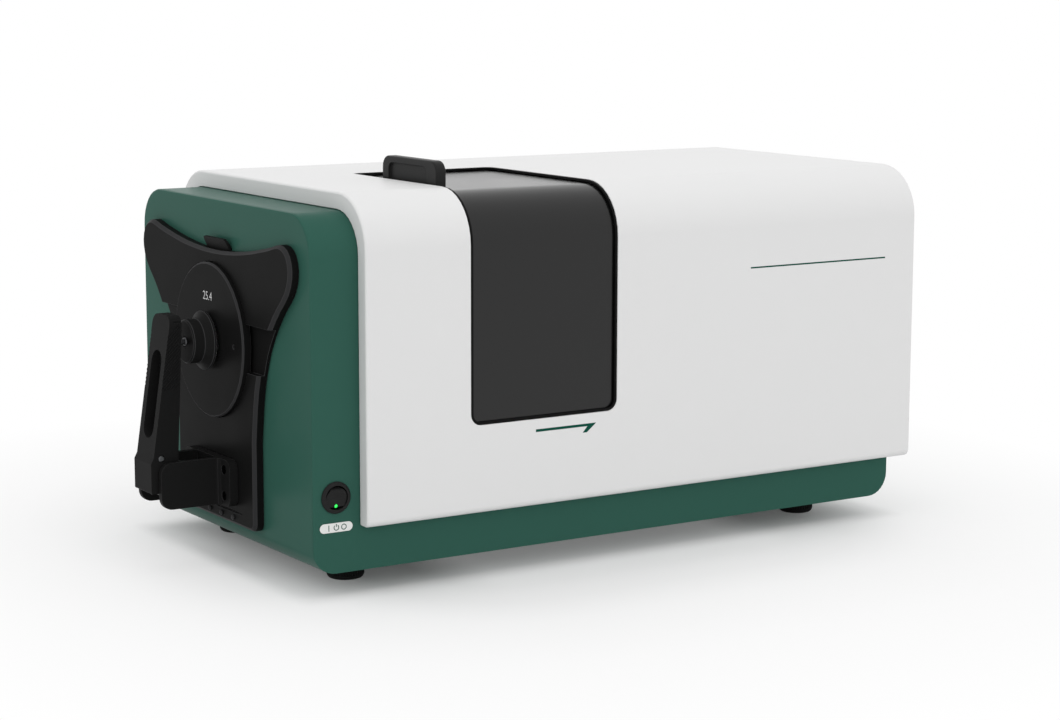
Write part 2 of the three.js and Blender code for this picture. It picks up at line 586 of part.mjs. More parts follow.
function arm() {
  const { halfWidth: w, top, corner, blockTop, blockBottom, heel } = ARM;
  const [frontTop, frontLow] = [HINGE_X + ARM_FRONT.top, HINGE_X + ARM_FRONT.low];
  const [rearTop, rearLow] = [HINGE_X + ARM_REAR.top, HINGE_X + ARM_REAR.low];
  const blockFront = HINGE_X + ARM.blockFront;
  const ahead = HINGE_X - REACH;
  const behind = HINGE_X + REACH;
  const blade = prism([[frontLow, blockTop - 6], [rearLow, blockTop - 6], [rearLow, blockTop], [rearTop, top],
    [frontTop, top], [frontLow, blockTop]], 'y', -w, w);
  const face = prism(rectangle(-w, w, 0, top, corner, 8), 'x', ahead, behind);
  const block = prism(rounded([[blockFront, blockBottom, 1], [HINGE_X, blockBottom], [HINGE_X, blockTop],
    [blockFront + 2.1, blockTop], [blockFront, blockTop - 4, 1]], 3), 'y', -w, w);
  const knuckle = rod('y', [HINGE_X, 0, HINGE.z], HINGE.knuckle, -w, w, 24);
  const back = box(HINGE_X, HINGE_X + heel, -w, w, HINGE.z, blockTop - 4);
  const slot = ARM_WINDOW;
  const window = prism(rectangle(-slot.halfWidth, slot.halfWidth, slot.bottom, slot.top, slot.halfWidth - 0.1, 8),
    'x', ahead, rearLow - slot.floor);
  const springRoom = box(blockFront + 4.5, behind, -6.5, 6.5, 0, blockTop - 5.5);
  const bore = rod('y', [HINGE_X, 0, HINGE.z], HINGE.pin + BORE_GAP, -REACH, REACH, 16);
  const pin = rod('y', [HINGE_X - ARM_PIN.out, 0, ARM_PIN.z], ARM_PIN.radius + BORE_GAP, -REACH, REACH, 16);
  const stem = rod('x', [0, 0, PORT_Z], BALL.stem + BORE_GAP, rearTop - BALL.seat - 0.2, behind, 20);
  const steps = [-1, 1].map((side) => {
    const [y0, y1] = [side * (w - ARM_STEP.depth), side * (w + 1)].sort((a, b) => a - b);
    return box(frontTop + ARM_STEP.fromFront, behind, y0, y1, ARM_STEP.bottom, ARM_STEP.top);
  });
  const body = cut(join(blade.intersect(face), block, knuckle, back), window, springRoom, bore, pin, stem, ...steps);
  return cut(body, ...knurl());
}

// Slanting grip grooves in both sides of the arm, clear of its front and rear edges.
function knurl() {
  const { count, pitch, top, width, depth, low, high, edge } = KNURL;
  const grooves = [];
  for (const side of [-1, 1]) {
    for (let k = 0; k < count; k++) {
      const rib = new THREE.BoxGeometry(30, 2 * depth, width);
      rib.rotateY(-Math.PI / 4);
      rib.translate(HINGE_X + 3.5, side * ARM.halfWidth, top - k * pitch);
      const band = box(HINGE_X - 10, HINGE_X + edge - k * 0.15, -REACH, REACH, low, high);
      grooves.push(solid(rib).intersect(band));
    }
  }
  return grooves;
}

function armPin() {
  const end = ARM.halfWidth + ARM_PIN.proud;
  const r = ARM_PIN.radius;
  return turned([[0, -end], [r - 0.4, -end], [r, 0.4 - end], [r, end - 0.4], [r - 0.4, end], [0, end]],
    'y', [HINGE_X - ARM_PIN.out, 0, ARM_PIN.z], 16);
}

function ballStud() {
  const { out, radius, stem, seat } = BALL;
  const start = HINGE_X + ARM_REAR.top - seat;
  const profile = [[0, start], [stem, start]];
  const steps = 6;
  for (let k = 0; k <= steps; k++) {
    const a = THREE.MathUtils.lerp(Math.asin(stem / radius), Math.PI, k / steps);
    profile.push([radius * Math.sin(a) * (k < steps), PLATE_FRONT - out - radius * Math.cos(a)]);
  }
  return turned(profile, 'x', [0, 0, PORT_Z], 14);
}

function pusher() {
  const { gap, radius, flange, lip, length } = PUSHER;
  const rim = DISC_FRONT - gap;
  const near = rim - length;
  const floor = rim - PAD.seat - GAP;
  const socket = BALL.radius + GAP;
  return turned([[lip, rim], [flange - 0.4, rim], [flange, rim - 0.5], [flange, rim - 2], [radius + 1.6, rim - 4.2],
    [radius, rim - 6.6], [radius, near + 1], [radius - 1, near], [socket, near], [socket, near + 10], [0, near + 10],
    [0, floor], [lip, floor]], 'x', [0, 0, PORT_Z], 28);
}

function pusherPad() {
  const rim = DISC_FRONT - PUSHER.gap;
  const { radius, proud, seat } = PAD;
  return turned([[0, rim - seat], [radius, rim - seat], [radius, rim + proud - 0.4], [radius - 0.6, rim + proud],
    [0, rim + proud]], 'x', [0, 0, PORT_Z], 24);
}

// Sliding door, its handle and its rails

function sampleDoor() {
  const region = doorOpening(DOOR.lap, 0);
  return coverSkin(DOOR.sunk, DOOR.sunk + DOOR.thickness).intersect(region);
}

function doorHandle() {
  const { fromEdge, thickness, right, left, radius, edge: c } = HANDLE;
  const x = DOOR_LEFT + fromEdge;
  const foot = COVER_TOP - DOOR.sunk + GAP;
  const top = COVER_TOP + HANDLE.rise;
  const full = rounded([[right, foot], [left, foot], [left, top, radius], [right, top, radius]], 8);
  const small = rounded([[right + c, foot], [left - c, foot], [left - c, top - c, radius - c],
    [right + c, top - c, radius - c]], 8);
  const plate = loft([along(x, small), along(x + c, full), along(x + thickness - c, full), along(x + thickness, small)]);
  const hollow = HANDLE_RECESS;
  const recess = prism(
    rectangle(right + hollow.right, left - hollow.left, foot - 20, top - hollow.top, hollow.radius, 6),
    'x', x - REACH, x + hollow.depth);
  return cut(plate, recess);
}

const railEnds = () => [DOOR_LEFT - DOOR.lap - RAIL.before, DOOR_RIGHT + DOOR.lap + DOOR_TRAVEL + RAIL.beyond];

function doorRailLow() {
  const [x0, x1] = railEnds();
  const skin = COVER_SIDE - COVER.wall - GAP;
  const inner = COVER_SIDE - DOOR.sunk - DOOR.thickness - RAIL.gap;
  const floor = DOOR.sill - DOOR.lap - RAIL.gap;
  return join(
    box(x0, x1, -skin, 2 - inner, floor - 3, floor),
    box(x0, x1, -inner, 2 - inner, floor - 1, floor + 5),
  );
}

function doorRailHigh() {
  const [x0, x1] = railEnds();
  const skin = COVER_TOP - COVER.wall - GAP;
  const under = COVER_TOP - DOOR.sunk - DOOR.thickness - RAIL.gap;
  const stop = DOOR.back + DOOR.lap + RAIL.gap;
  return join(
    box(x0, x1, stop, stop + 3, under - 2, skin),
    box(x0, x1, stop - 5, stop + 1, under - 2, under),
  );
}

// Inside: sample chamber, sphere, lamp, spectrometer and electronics

function chamberLiner() {
  const [left, right, back, floor] = [CHAMBER_LEFT, CHAMBER_RIGHT, CHAMBER_BACK, CHAMBER_FLOOR];
  const { wall } = CHAMBER;
  const { halfWidth, top } = BODY;
  const outer = box(left, right, -halfWidth, back, floor, top).intersect(prism(bodySection(0), 'x', 0, right + REACH));
  const inside = box(left + wall, right - wall, -halfWidth - REACH, back - wall, floor + wall, top + REACH);
  const beam = rod('x', [0, 0, PORT_Z], BEAM.hole, left - 5, right + 5, 20);
  const ribEnd = DECK.legInset - DECK_HALF_WIDTH;
  const ribs = [left + 12, right - 15].map((x) => box(x, x + 3, ribEnd, back - 5, DECK.top + GAP, floor + 1));
  return join(cut(outer, inside, beam), ...ribs);
}

function cellHolder() {
  const { fromLeft, front, rear, base, thickness, lip } = HOLDER;
  const floor = CHAMBER_FLOOR + CHAMBER.wall + GAP;
  const x = CHAMBER_LEFT + fromLeft;
  const post = floor + base - 1;
  const plate = prism(rectangle(x - 22, x + 34, front, rear, 4, 3), 'z', floor, floor + base);
  const back = box(x - thickness, x + thickness, front + 8, rear, post, HOLDER.top);
  const lips = [front + 8, rear - lip].map((y) => box(x - thickness, x + 12, y, y + lip, post, HOLDER.lipTop));
  const beam = rod('x', [0, 0, PORT_Z], BEAM.radius, x - 20, x + 20, 24);
  return cut(join(plate, back, ...lips), beam);
}

function lensBarrel() {
  const right = CHAMBER_RIGHT;
  const { radius, flange, wall, length } = BARREL;
  const bore = radius - wall;
  return turned([[bore, right - 6], [radius - 1, right - 6], [radius, right - 5], [radius, right + GAP],
    [flange, right + GAP], [flange, right + 3], [radius, right + 3], [radius, right + length], [bore, right + length]],
  'x', [0, 0, PORT_Z], 16);
}

function beamLens() {
  const x = CHAMBER_RIGHT - 1;
  const { radius, rim, dome } = BEAM_LENS;
  return turned([[0, x - dome], [5, x - dome + 0.3], [9, x - dome + 1.1], [radius, x], [radius, x + rim], [0, x + rim]],
    'x', [0, 0, PORT_Z], 16);
}

function ball(radius, segments = 16, rings = 8) {
  const profile = [];
  for (let k = 0; k <= rings; k++) {
    const a = (Math.PI * k) / rings;
    profile.push([k % rings ? radius * Math.sin(a) : 0, -radius * Math.cos(a)]);
  }
  return turned(profile, 'x', [SPHERE_X, 0, PORT_Z], segments);
}

// The integrating sphere with its port neck, beam exit, lamp port, light guide port and joint collar.
function wholeSphere() {
  const { outer, wall, collar } = SPHERE;
  const centre = [0, 0, PORT_Z];
  const at = [SPHERE_X, 0, PORT_Z];
  const neckEnd = PLATE_FRONT + DISC.seat + DISC.play;
  const neckRoot = SPHERE_X - outer + 24;
  const exitRoot = SPHERE_X + outer - 14;
  const root = outer - 14;
  const outside = join(
    ball(outer),
    rod('x', centre, NECK.outer, neckEnd, neckRoot, 20),
    rod('x', centre, 16.8, exitRoot, CHAMBER_LEFT - 0.6, 16),
    rod('z', at, 12, root, LAMP.neck, 16),
    rod('y', at, 8, root, outer + 6, 12),
    rod('x', centre, outer + collar, SPLIT_X - collar, SPLIT_X + collar, 24),
  );
  return cut(
    outside,
    ball(outer - wall),
    rod('x', centre, NECK.inner, neckEnd - REACH, neckRoot, 20),
    rod('x', centre, BEAM.radius, exitRoot, CHAMBER_LEFT + REACH, 16),
    rod('z', at, 9, root, outer + REACH, 12),
    rod('y', at, 4, root, outer + REACH, 10),
  );
}

function sphereHalf(front) {
  const half = GAP / 2;
  const far = 2 * SPHERE.outer;
  const [x0, x1] = front ? [SPLIT_X - 3 * far, SPLIT_X - half] : [SPLIT_X + half, SPLIT_X + 3 * far];
  return wholeSphere().intersect(box(x0, x1, -far, far, PORT_Z - far, PORT_Z + far));
}

function sphereStand() {
  const { halfLength, halfWidth, plate, saddle, saddleHalfWidth, saddleTop } = STAND;
  const low = DECK.top + GAP;
  const foot = box(SPHERE_X - halfLength, SPHERE_X + halfLength, -halfWidth, halfWidth, low, DECK.top + plate);
  const saddles = [SPHERE_X - 16, SPHERE_X + 2].map((x) =>
    box(x, x + saddle, -saddleHalfWidth, saddleHalfWidth, DECK.top + 3, saddleTop));
  const rib = box(SPHERE_X - 15, SPHERE_X + 5, -3, 3, DECK.top + 3, saddleTop - 14);
  return cut(join(foot, ...saddles, rib), ball(SPHERE.outer + GAP));
}

function lampHousing() {
  const { radius, inner, hole, underBody, fin, finPitch, neck } = LAMP;
  const at = [SPHERE_X, 0, 0];
  const top = BODY.top - BODY.wall - underBody;
  const roof = top - LAMP.roof;
  const low = PORT_Z + neck + GAP;
  const body = turned([[hole, low], [radius, low], [radius, top], [0, top], [0, roof], [inner, roof], [inner, low + 3],
    [hole, low + 3]], 'z', at, 14);
  const fins = [1, 2, 3].map((k) => {
    const z = top - 2 - k * finPitch;
    return tube('z', at, radius - 1, fin, z, z + 1.6, 14);
  });
  return join(body, ...fins);
}

function flashLamp() {
  const { radius, base, baseHeight, length } = TUBE;
  const roof = BODY.top - BODY.wall - LAMP.underBody - LAMP.roof;
  const tip = roof - length;
  const seat = roof - baseHeight;
  return turned([[0, tip], [radius - 2, tip + 0.6], [radius, tip + 2.6], [radius, seat], [base, seat],
    [base, roof - GAP], [0, roof - GAP]], 'z', [SPHERE_X, 0, 0], 12);
}

function fibreLink() {
  const start = SPHERE.outer + 6 + 0.4;
  const end = CHAMBER_RIGHT + CASE.fromChamber - 0.6;
  const path = new THREE.CatmullRomCurve3([
    [SPHERE_X, start, PORT_Z], [SPHERE_X, start + 9.6, PORT_Z], [30, 84, 138], [70, 92, 124], [140, 88, 108],
    [190, 60, SLIT.z + 1], [end - 7.4, SLIT.y + 4, SLIT.z], [end, SLIT.y, SLIT.z],
  ].map((p) => new THREE.Vector3(...p)));
  const radius = 3.2;
  const circle = new THREE.Shape(Array.from({ length: 6 }, (_, k) => {
    const a = (2 * Math.PI * k) / 6;
    return new THREE.Vector2(radius * Math.cos(a), radius * Math.sin(a));
  }));
  return solid(new THREE.ExtrudeGeometry(circle, { extrudePath: path, steps: 22 }));
}

const caseEnds = () => {
  const x0 = CHAMBER_RIGHT + CASE.fromChamber;
  return [x0, x0 + CASE.length];
};

function spectrometerCase() {
  const [x0, x1] = caseEnds();
  const { right, left, top, wall, corner } = CASE;
  const low = DECK.top + GAP;
  const body = prism(rectangle(x0, x1, right, left, corner, 4), 'z', low, top);
  const inside = prism(rectangle(x0 + wall, x1 - wall, right + wall, left - wall, corner - 2, 4),
    'z', low + wall, top + REACH);
  const slit = rod('x', [0, SLIT.y, SLIT.z], SLIT.radius, x0 - 5, x0 + 10, 16);
  return cut(body, inside, slit);
}

function spectrometerLid() {
  const [x0, x1] = caseEnds();
  const { right, left, top, wall, corner } = CASE;
  const lid = prism(rectangle(x0, x1, right, left, corner, 4), 'z', top + GAP, top + 3);
  const ring = (margin, radius, from, to) =>
    prism(rectangle(x0 + margin, x1 - margin, right + margin, left - margin, radius, 4), 'z', from, to);
  const lip = cut(ring(wall + 0.4, corner - 3, top - 3, top + 1), ring(2 * wall, 0, top - 5, top + 0.2));
  return join(lid, lip);
}

function concaveGrating() {
  const [, x1] = caseEnds();
  const { fromEnd, thickness, right, left, height, curve } = GRATING;
  const front = x1 - fromEnd - thickness;
  const low = DECK.top + GAP + CASE.wall + GAP;
  const block = box(front, x1 - fromEnd, right, left, low, low + height - 0.6);
  return cut(block, rod('x', [0, 0, 0], 0.01, 0, 0.01, 3), rod('z', [front + 4 - curve, (left + right) / 2, 0],
    curve, 0, low + height + REACH, 64));
}

function deckPlate() {
  const { top, thickness, front, rear, legInset, leg } = DECK;
  const side = DECK_HALF_WIDTH;
  const slots = [[60, 70], [130, 150], [210, 214]].map(([x0, x1]) => box(x0, x1, -60, 60, top - REACH, top + REACH));
  const plate = cut(box(front, rear, -side, side, top - thickness, top), ...slots);
  const legs = [front + legInset, (front + rear) / 2 - 3.5, rear - legInset + 1].flatMap((x) =>
    [-1, 1].map((way) => rod('z', [x, way * (side - legInset), 0], leg, BODY.wall + GAP, top - 1, 8)));
  return join(plate, ...legs);
}

function mainBoard() {
  const { front, rear, halfWidth, bottom, top } = BOARD;
  const board = box(front, rear, -halfWidth, halfWidth, bottom + GAP, top);
  const chips = [[90, 130, -40, 0, 19], [160, 184, 10, 34, 18], [210, 270, -70, -50, 27], [240, 262, 30, 60, 24],
    [60, 78, 40, 78, 30], [288, 306, -20, 20, 26]].map(([x0, x1, y0, y1, z]) => box(x0, x1, y0, y1, top - 1, z));
  return join(board, ...chips);
}

function powerSupply() {
  const { bottom, top, wall, foot: footRadius } = SUPPLY;
  const x1 = BODY.rear - BODY.wall - SUPPLY.fromRear;
  const x0 = x1 - SUPPLY.length;
  const y1 = BODY.halfWidth - BODY.wall - SUPPLY.fromSide;
  const y0 = y1 - SUPPLY.width;
  const body = box(x0, x1, y0, y1, bottom, top);
  const inside = box(x0 + wall, x1 - wall, y0 + wall, y1 - wall, bottom + wall, top - wall);
  const slots = [];
  for (let k = 0; k < 7; k++) {
    const x = x0 + 8 + k * 10;
    slots.push(prism(rectangle(x, x + 4, y0 + 14, y1 - 14, 1.6, 1), 'z', top - 7, top + REACH));
  }
  const feet = [x0 + 6, x1 - 6].flatMap((x) =>
    [y0 + 6, y1 - 6].map((y) => rod('z', [x, y, 0], footRadius, BODY.wall + GAP, bottom + 1, 8)));
  return join(cut(body, inside, ...slots), ...feet);
}

// Scene

const PAINT = {
  green: { color: 0x3c5c50, roughness: 0.55, metalness: 0 },
  white: { color: 0xdedede, roughness: 0.5, metalness: 0 },
  black: { color: 0x242424, roughness: 0.5, metalness: 0 },
  charcoal: { color: 0x333333, roughness: 0.6, metalness: 0 },
  rubber: { color: 0x141414, roughness: 0.85, metalness: 0 },
  steel: { color: 0xc4c6c8, roughness: 0.3, metalness: 1 },
  darkSteel: { color: 0x2c2c2e, roughness: 0.35, metalness: 1 },
  alloy: { color: 0xa8abad, roughness: 0.45, metalness: 1 },
  glass: { color: 0xdfe8ea, roughness: 0.05, metalness: 0 },
  lens: { color: 0x34d060, roughness: 0.3, metalness: 0 },
  label: { color: 0xe4e4e4, roughness: 0.6, metalness: 0 },
  board: { color: 0x1f5a34, roughness: 0.6, metalness: 0 },
};

function piece(name, body, paint) {
  const mesh = new THREE.Mesh(surface(body), new THREE.MeshStandardMaterial(PAINT[paint]));
  mesh.name = name;
  return mesh;
}

function housing() {
  const group = new THREE.Group();
  group.add(
    piece('chassis', chassis(), 'green'),
    piece('rear_panel', rearPanel(), 'green'),
    piece('white_cover', whiteCover(), 'white'),
    piece('door_trim', doorTrim(), 'black'),
    piece('power_inlet', powerInlet(), 'black'),
    piece('data_socket', dataSocket(), 'steel'),
    piece('power_label', powerLabel(), 'label'),
    piece('switch_bezel', switchBezel(), 'black'),
    piece('door_rail_low', doorRailLow(), 'alloy'),
    piece('door_rail_high', doorRailHigh(), 'alloy'),
  );
  footPlaces().forEach((place, k) => {
    group.add(piece(`foot_${k + 1}`, foot(place), 'rubber'));
    group.add(piece(`foot_screw_${k + 1}`, footScrew(place), 'steel'));
  });
  return group;
}

function samplePort() {
  const group = new THREE.Group();
  group.add(
    piece('port_plate', portPlate(), 'black'),
    piece('port_latch', portLatch(), 'black'),
    piece('aperture_disc', apertureDisc(), 'black'),
    piece('bracket', bracket(), 'black'),
    piece('hinge_pin', hingePin(), 'steel'),
  );
  bracketScrewPlaces().forEach((place, k) => group.add(piece(`bracket_screw_${k + 1}`, bracketScrew(place), 'black')));
  studPlaces().forEach((y, k) => group.add(piece(`base_stud_${k + 1}`, baseStud(y), 'darkSteel')));
  return group;
}

function clampArm() {
  const group = new THREE.Group();
  group.add(
    piece('arm', arm(), 'black'),
    piece('arm_pin', armPin(), 'steel'),
    piece('ball_stud', ballStud(), 'darkSteel'),
    piece('pusher', pusher(), 'black'),
    piece('pusher_pad', pusherPad(), 'rubber'),
  );
  return group;
}

function switchRocker() {
  const group = new THREE.Group();
  group.add(piece('switch_rocker', rocker(), 'black'), piece('switch_lens', switchLens(), 'lens'));
  group.position.set(SWITCH_X, ROCKER.sunk - BODY.halfWidth, SWITCH.z);
  group.rotation.x = THREE.MathUtils.degToRad(ROCKER.tilt);
  return group;
}

function slidingDoor() {
  const group = new THREE.Group();
  group.add(piece('sample_door', sampleDoor(), 'charcoal'), piece('door_handle', doorHandle(), 'charcoal'));
  return group;
}

function inside() {
  const group = new THREE.Group();
  group.add(
    piece('chamber_liner', chamberLiner(), 'black'),
    piece('cell_holder', cellHolder(), 'black'),
    piece('lens_barrel', lensBarrel(), 'black'),
    piece('beam_lens', beamLens(), 'glass'),
    piece('sphere_front', sphereHalf(true), 'white'),
    piece('sphere_rear', sphereHalf(false), 'white'),
    piece('sphere_stand', sphereStand(), 'alloy'),
    piece('lamp_housing', lampHousing(), 'alloy'),
    piece('flash_lamp', flashLamp(), 'glass'),
    piece('fibre_link', fibreLink(), 'black'),
    piece('spectrometer_case', spectrometerCase(), 'alloy'),
    piece('spectrometer_lid', spectrometerLid(), 'alloy'),
    piece('grating', concaveGrating(), 'glass'),
    piece('deck_plate', deckPlate(), 'alloy'),
    piece('main_board', mainBoard(), 'board'),
    piece('power_supply', powerSupply(), 'alloy'),
  );
  return group;
}

const colorimeter = new THREE.Group();
colorimeter.add(housing(), samplePort(), clampArm(), switchRocker(), slidingDoor(), inside());
// The origin is on the table, below the middle of the whole instrument.
colorimeter.position.set(-(HINGE_X + ARM.blockFront + COVER_END) / 2, 0, FOOT.height);

export default colorimeter;
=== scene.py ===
import json
import math

import bmesh
import bpy
from mathutils import Matrix, Vector

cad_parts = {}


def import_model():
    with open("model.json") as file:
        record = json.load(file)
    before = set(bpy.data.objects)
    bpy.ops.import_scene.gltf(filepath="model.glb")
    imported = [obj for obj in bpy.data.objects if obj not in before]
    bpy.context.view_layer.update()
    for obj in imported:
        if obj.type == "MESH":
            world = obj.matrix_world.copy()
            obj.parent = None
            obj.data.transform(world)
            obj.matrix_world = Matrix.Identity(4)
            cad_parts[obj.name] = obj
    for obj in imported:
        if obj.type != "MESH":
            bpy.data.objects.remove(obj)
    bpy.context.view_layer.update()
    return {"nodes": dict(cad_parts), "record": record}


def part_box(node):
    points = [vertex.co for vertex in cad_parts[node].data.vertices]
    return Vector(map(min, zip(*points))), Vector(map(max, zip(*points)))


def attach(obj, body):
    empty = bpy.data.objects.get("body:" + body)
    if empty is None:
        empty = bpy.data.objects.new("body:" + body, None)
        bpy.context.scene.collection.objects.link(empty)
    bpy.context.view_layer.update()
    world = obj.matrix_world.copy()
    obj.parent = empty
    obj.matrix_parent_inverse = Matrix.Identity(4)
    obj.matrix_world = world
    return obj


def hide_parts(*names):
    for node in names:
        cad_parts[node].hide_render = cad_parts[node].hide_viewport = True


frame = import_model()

MM = 0.001

# Places of the construction, read from the frame
COVER_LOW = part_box("white_cover")[0]
BODY_LOW, BODY_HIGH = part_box("chassis")
REAR_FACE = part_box("rear_panel")[1].x
DISC_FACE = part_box("aperture_disc")[0].x
LABEL_LOW, LABEL_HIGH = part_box("power_label")
PIN_LOW, PIN_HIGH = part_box("hinge_pin")
ARM_HALF_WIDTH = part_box("arm")[1].y / MM


def place(x, y, z):
    """A point in metres, from millimetres off the cover's front end, the middle and the body's underside."""
    return Vector((COVER_LOW.x + x * MM, y * MM, BODY_LOW.z + z * MM))


def middle(low, high):
    return (low + high) / 2


# Colours

def srgb(red, green, blue):
    """A colour given as it looks on screen, 0 to 255, as linear values."""
    def linear(value):
        share = value / 255
        return share / 12.92 if share <= 0.04045 else ((share + 0.055) / 1.055) ** 2.4
    return (linear(red), linear(green), linear(blue), 1.0)


WHITE = (1, 1, 1, 1)
BODY_GREEN = srgb(50, 90, 79)
COVER_WHITE = srgb(224, 224, 224)
DOOR_CHARCOAL = srgb(11, 11, 11)
HANDLE_CHARCOAL = srgb(38, 38, 38)
ARM_BLACK = srgb(29, 29, 29)
PLATE_BLACK = srgb(22, 22, 22)
# Paler anodised grey: the painted highlight on rounded edges, and the plain colour of the base studs
EDGE_HIGHLIGHT_AND_STUD_GREY = srgb(58, 58, 59)
# Paler tone on the chamfers of the port plate and aperture disc: a painted highlight
CHAMFER_HIGHLIGHT_GREY = srgb(50, 50, 51)
SWITCH_BLACK = srgb(31, 31, 31)
TRIM_BLACK = srgb(17, 17, 17)
# Near-black for the bracket screws: black screws, made darker still as painted shade in their sockets
SCREW_BLACK_AND_SHADE = srgb(3, 3, 3)
RUBBER_BLACK = srgb(20, 20, 20)
MARK_GREEN = srgb(14, 74, 60)
SPHERE_WHITE = srgb(245, 245, 242)
BARE_METAL = srgb(190, 192, 194)
DARK_METAL = srgb(96, 97, 99)
MIRROR_SILVER = srgb(205, 205, 210)
GLASS_TINT = srgb(235, 242, 244)
LIGHT_GREEN = srgb(40, 235, 85)
LABEL_WHITE = srgb(228, 228, 226)
BOARD_GREEN = srgb(30, 92, 52)
PRINT_WHITE = srgb(205, 205, 205)


# Steps of a node tree

def feed(links, value, socket):
    """Links a socket to another one, or sets it to a value."""
    if isinstance(value, bpy.types.NodeSocket):
        links.new(value, socket)
    else:
        socket.default_value = value


def calculate(nodes, links, operation, first, second, clamp=False):
    step = nodes.new("ShaderNodeMath")
    step.operation = operation
    step.use_clamp = clamp
    feed(links, first, step.inputs[0])
    feed(links, second, step.inputs[1])
    return step.outputs["Value"]


def calculate_vector(nodes, links, operation, first, second=(0, 0, 0)):
    step = nodes.new("ShaderNodeVectorMath")
    step.operation = operation
    feed(links, first, step.inputs[0])
    feed(links, second, step.inputs[1])
    return step.outputs["Value" if operation == "LENGTH" else "Vector"]


def mix_colours(nodes, links, share, first, second):
    mix = nodes.new("ShaderNodeMix")
    mix.data_type = "RGBA"
    feed(links, share, mix.inputs["Factor"])
    feed(links, first, mix.inputs["A"])
    feed(links, second, mix.inputs["B"])
    return mix.outputs["Result"]


def mix_shaders(nodes, links, share, first, second):
    mix = nodes.new("ShaderNodeMixShader")
    links.new(share, mix.inputs["Fac"])
    links.new(first, mix.inputs[1])
    links.new(second, mix.inputs[2])
    return mix.outputs["Shader"]


# Where most values of a noise lie
NOISE_LOW, NOISE_HIGH = 0.3, 0.7


def noise(nodes, links, scale, detail, stretch=(1, 1, 1)):
    """Noise in the object's own metres; scale is in cells a metre."""
    place_in = nodes.new("ShaderNodeTexCoord")
    mapping = nodes.new("ShaderNodeMapping")
    mapping.inputs["Scale"].default_value = stretch
    texture = nodes.new("ShaderNodeTexNoise")
    texture.inputs["Scale"].default_value = scale
    texture.inputs["Detail"].default_value = detail
    links.new(place_in.outputs["Object"], mapping.inputs["Vector"])
    links.new(mapping.outputs["Vector"], texture.inputs["Vector"])
    return texture.outputs["Fac"]


def spread(nodes, links, value, low, high):
    """Maps a noise to a range, as for a roughness that varies."""
    ramp = nodes.new("ShaderNodeMapRange")
    ramp.inputs["From Min"].default_value = NOISE_LOW
    ramp.inputs["From Max"].default_value = NOISE_HIGH
    ramp.inputs["To Min"].default_value = low
    ramp.inputs["To Max"].default_value = high
    links.new(value, ramp.inputs["Value"])
    return ramp.outputs["Result"]


def tint(nodes, links, value, colour, share):
    """The colour, a little darker and lighter as the noise says."""
    dark = [c * (1 - share) for c in colour[:3]] + [1]
    light = [min(1, c * (1 + share)) for c in colour[:3]] + [1]
    return mix_colours(nodes, links, value, dark, light)


def bump(nodes, links, height, depth, strength, shader):
    """Fine relief; depth is in millimetres."""
    lift = nodes.new("ShaderNodeBump")
    lift.inputs["Distance"].default_value = depth * MM
    lift.inputs["Strength"].default_value = strength
    links.new(height, lift.inputs["Height"])
    links.new(lift.outputs["Normal"], shader.inputs["Normal"])


def slant_highlight_share(nodes, links):
    """1 on faces that slant between front and side, as chamfers do, and 0 on faces square to either: where
    chamfers get a painted highlight.
    """
    facing = nodes.new("ShaderNodeNewGeometry")
    split = nodes.new("ShaderNodeSeparateXYZ")
    links.new(facing.outputs["True Normal"], split.inputs["Vector"])
    forward = calculate(nodes, links, "MULTIPLY", split.outputs["X"], split.outputs["X"])
    sideways = calculate(nodes, links, "SUBTRACT", 1, forward)
    both = calculate(nodes, links, "MULTIPLY", forward, sideways)
    # The two shares are a half each at 45 degrees, so their product is a quarter there
    return calculate(nodes, links, "MULTIPLY", both, 4, clamp=True)


# Materials

def new_material(name, colour, roughness, metallic=0.0, specular=0.5):
    material = bpy.data.materials.new(name)
    material.use_nodes = True
    nodes = material.node_tree.nodes
    shader = nodes["Principled BSDF"]
    shader.inputs["Base Color"].default_value = colour
    shader.inputs["Roughness"].default_value = roughness
    shader.inputs["Metallic"].default_value = metallic
    shader.inputs["Specular IOR Level"].default_value = specular
    return material, nodes, material.node_tree.links, shader


PATCH_DETAIL, GRAIN_DETAIL = 3, 2
GLOSS_DRIFT = 0.03


def coating(name, colour, roughness, specular, grain, depth, strength, patches, share):
    """Paint or moulded plastic: fine grain in relief, and slow changes of tone and gloss."""
    material, nodes, links, shader = new_material(name, colour, roughness, 0.0, specular)
    slow = noise(nodes, links, patches, PATCH_DETAIL)
    gloss = spread(nodes, links, slow, roughness - GLOSS_DRIFT, roughness + GLOSS_DRIFT)
    links.new(tint(nodes, links, slow, colour, share), shader.inputs["Base Color"])
    links.new(gloss, shader.inputs["Roughness"])
    bump(nodes, links, noise(nodes, links, grain, GRAIN_DETAIL), depth, strength, shader)
    return material


def with_chamfer_highlight(name, colour, highlight_colour, *finish):
    """A coating that is paler on the chamfers: a painted highlight."""
    material = coating(name, colour, *finish)
    nodes, links = material.node_tree.nodes, material.node_tree.links
    colour_in = nodes["Principled BSDF"].inputs["Base Color"]
    plain = colour_in.links[0].from_socket
    links.new(mix_colours(nodes, links, slant_highlight_share(nodes, links), plain, highlight_colour), colour_in)
    return material


BRUSH = {"marks": 900, "detail": 3, "smoother": 0.06, "rougher": 0.08, "depth": 0.02, "strength": 0.3}


def brushed(name, colour, roughness, stretch):
    """Metal with fine marks along one direction."""
    material, nodes, links, shader = new_material(name, colour, roughness, 1.0)
    marks = noise(nodes, links, BRUSH["marks"], BRUSH["detail"], stretch)
    gloss = spread(nodes, links, marks, roughness - BRUSH["smoother"], roughness + BRUSH["rougher"])
    links.new(gloss, shader.inputs["Roughness"])
    bump(nodes, links, marks, BRUSH["depth"], BRUSH["strength"], shader)
    return material


GLASS = {"roughness": 0.02, "transmission": 0.9, "ior": 1.5, "smears": 60, "detail": 2, "rougher": 0.03}


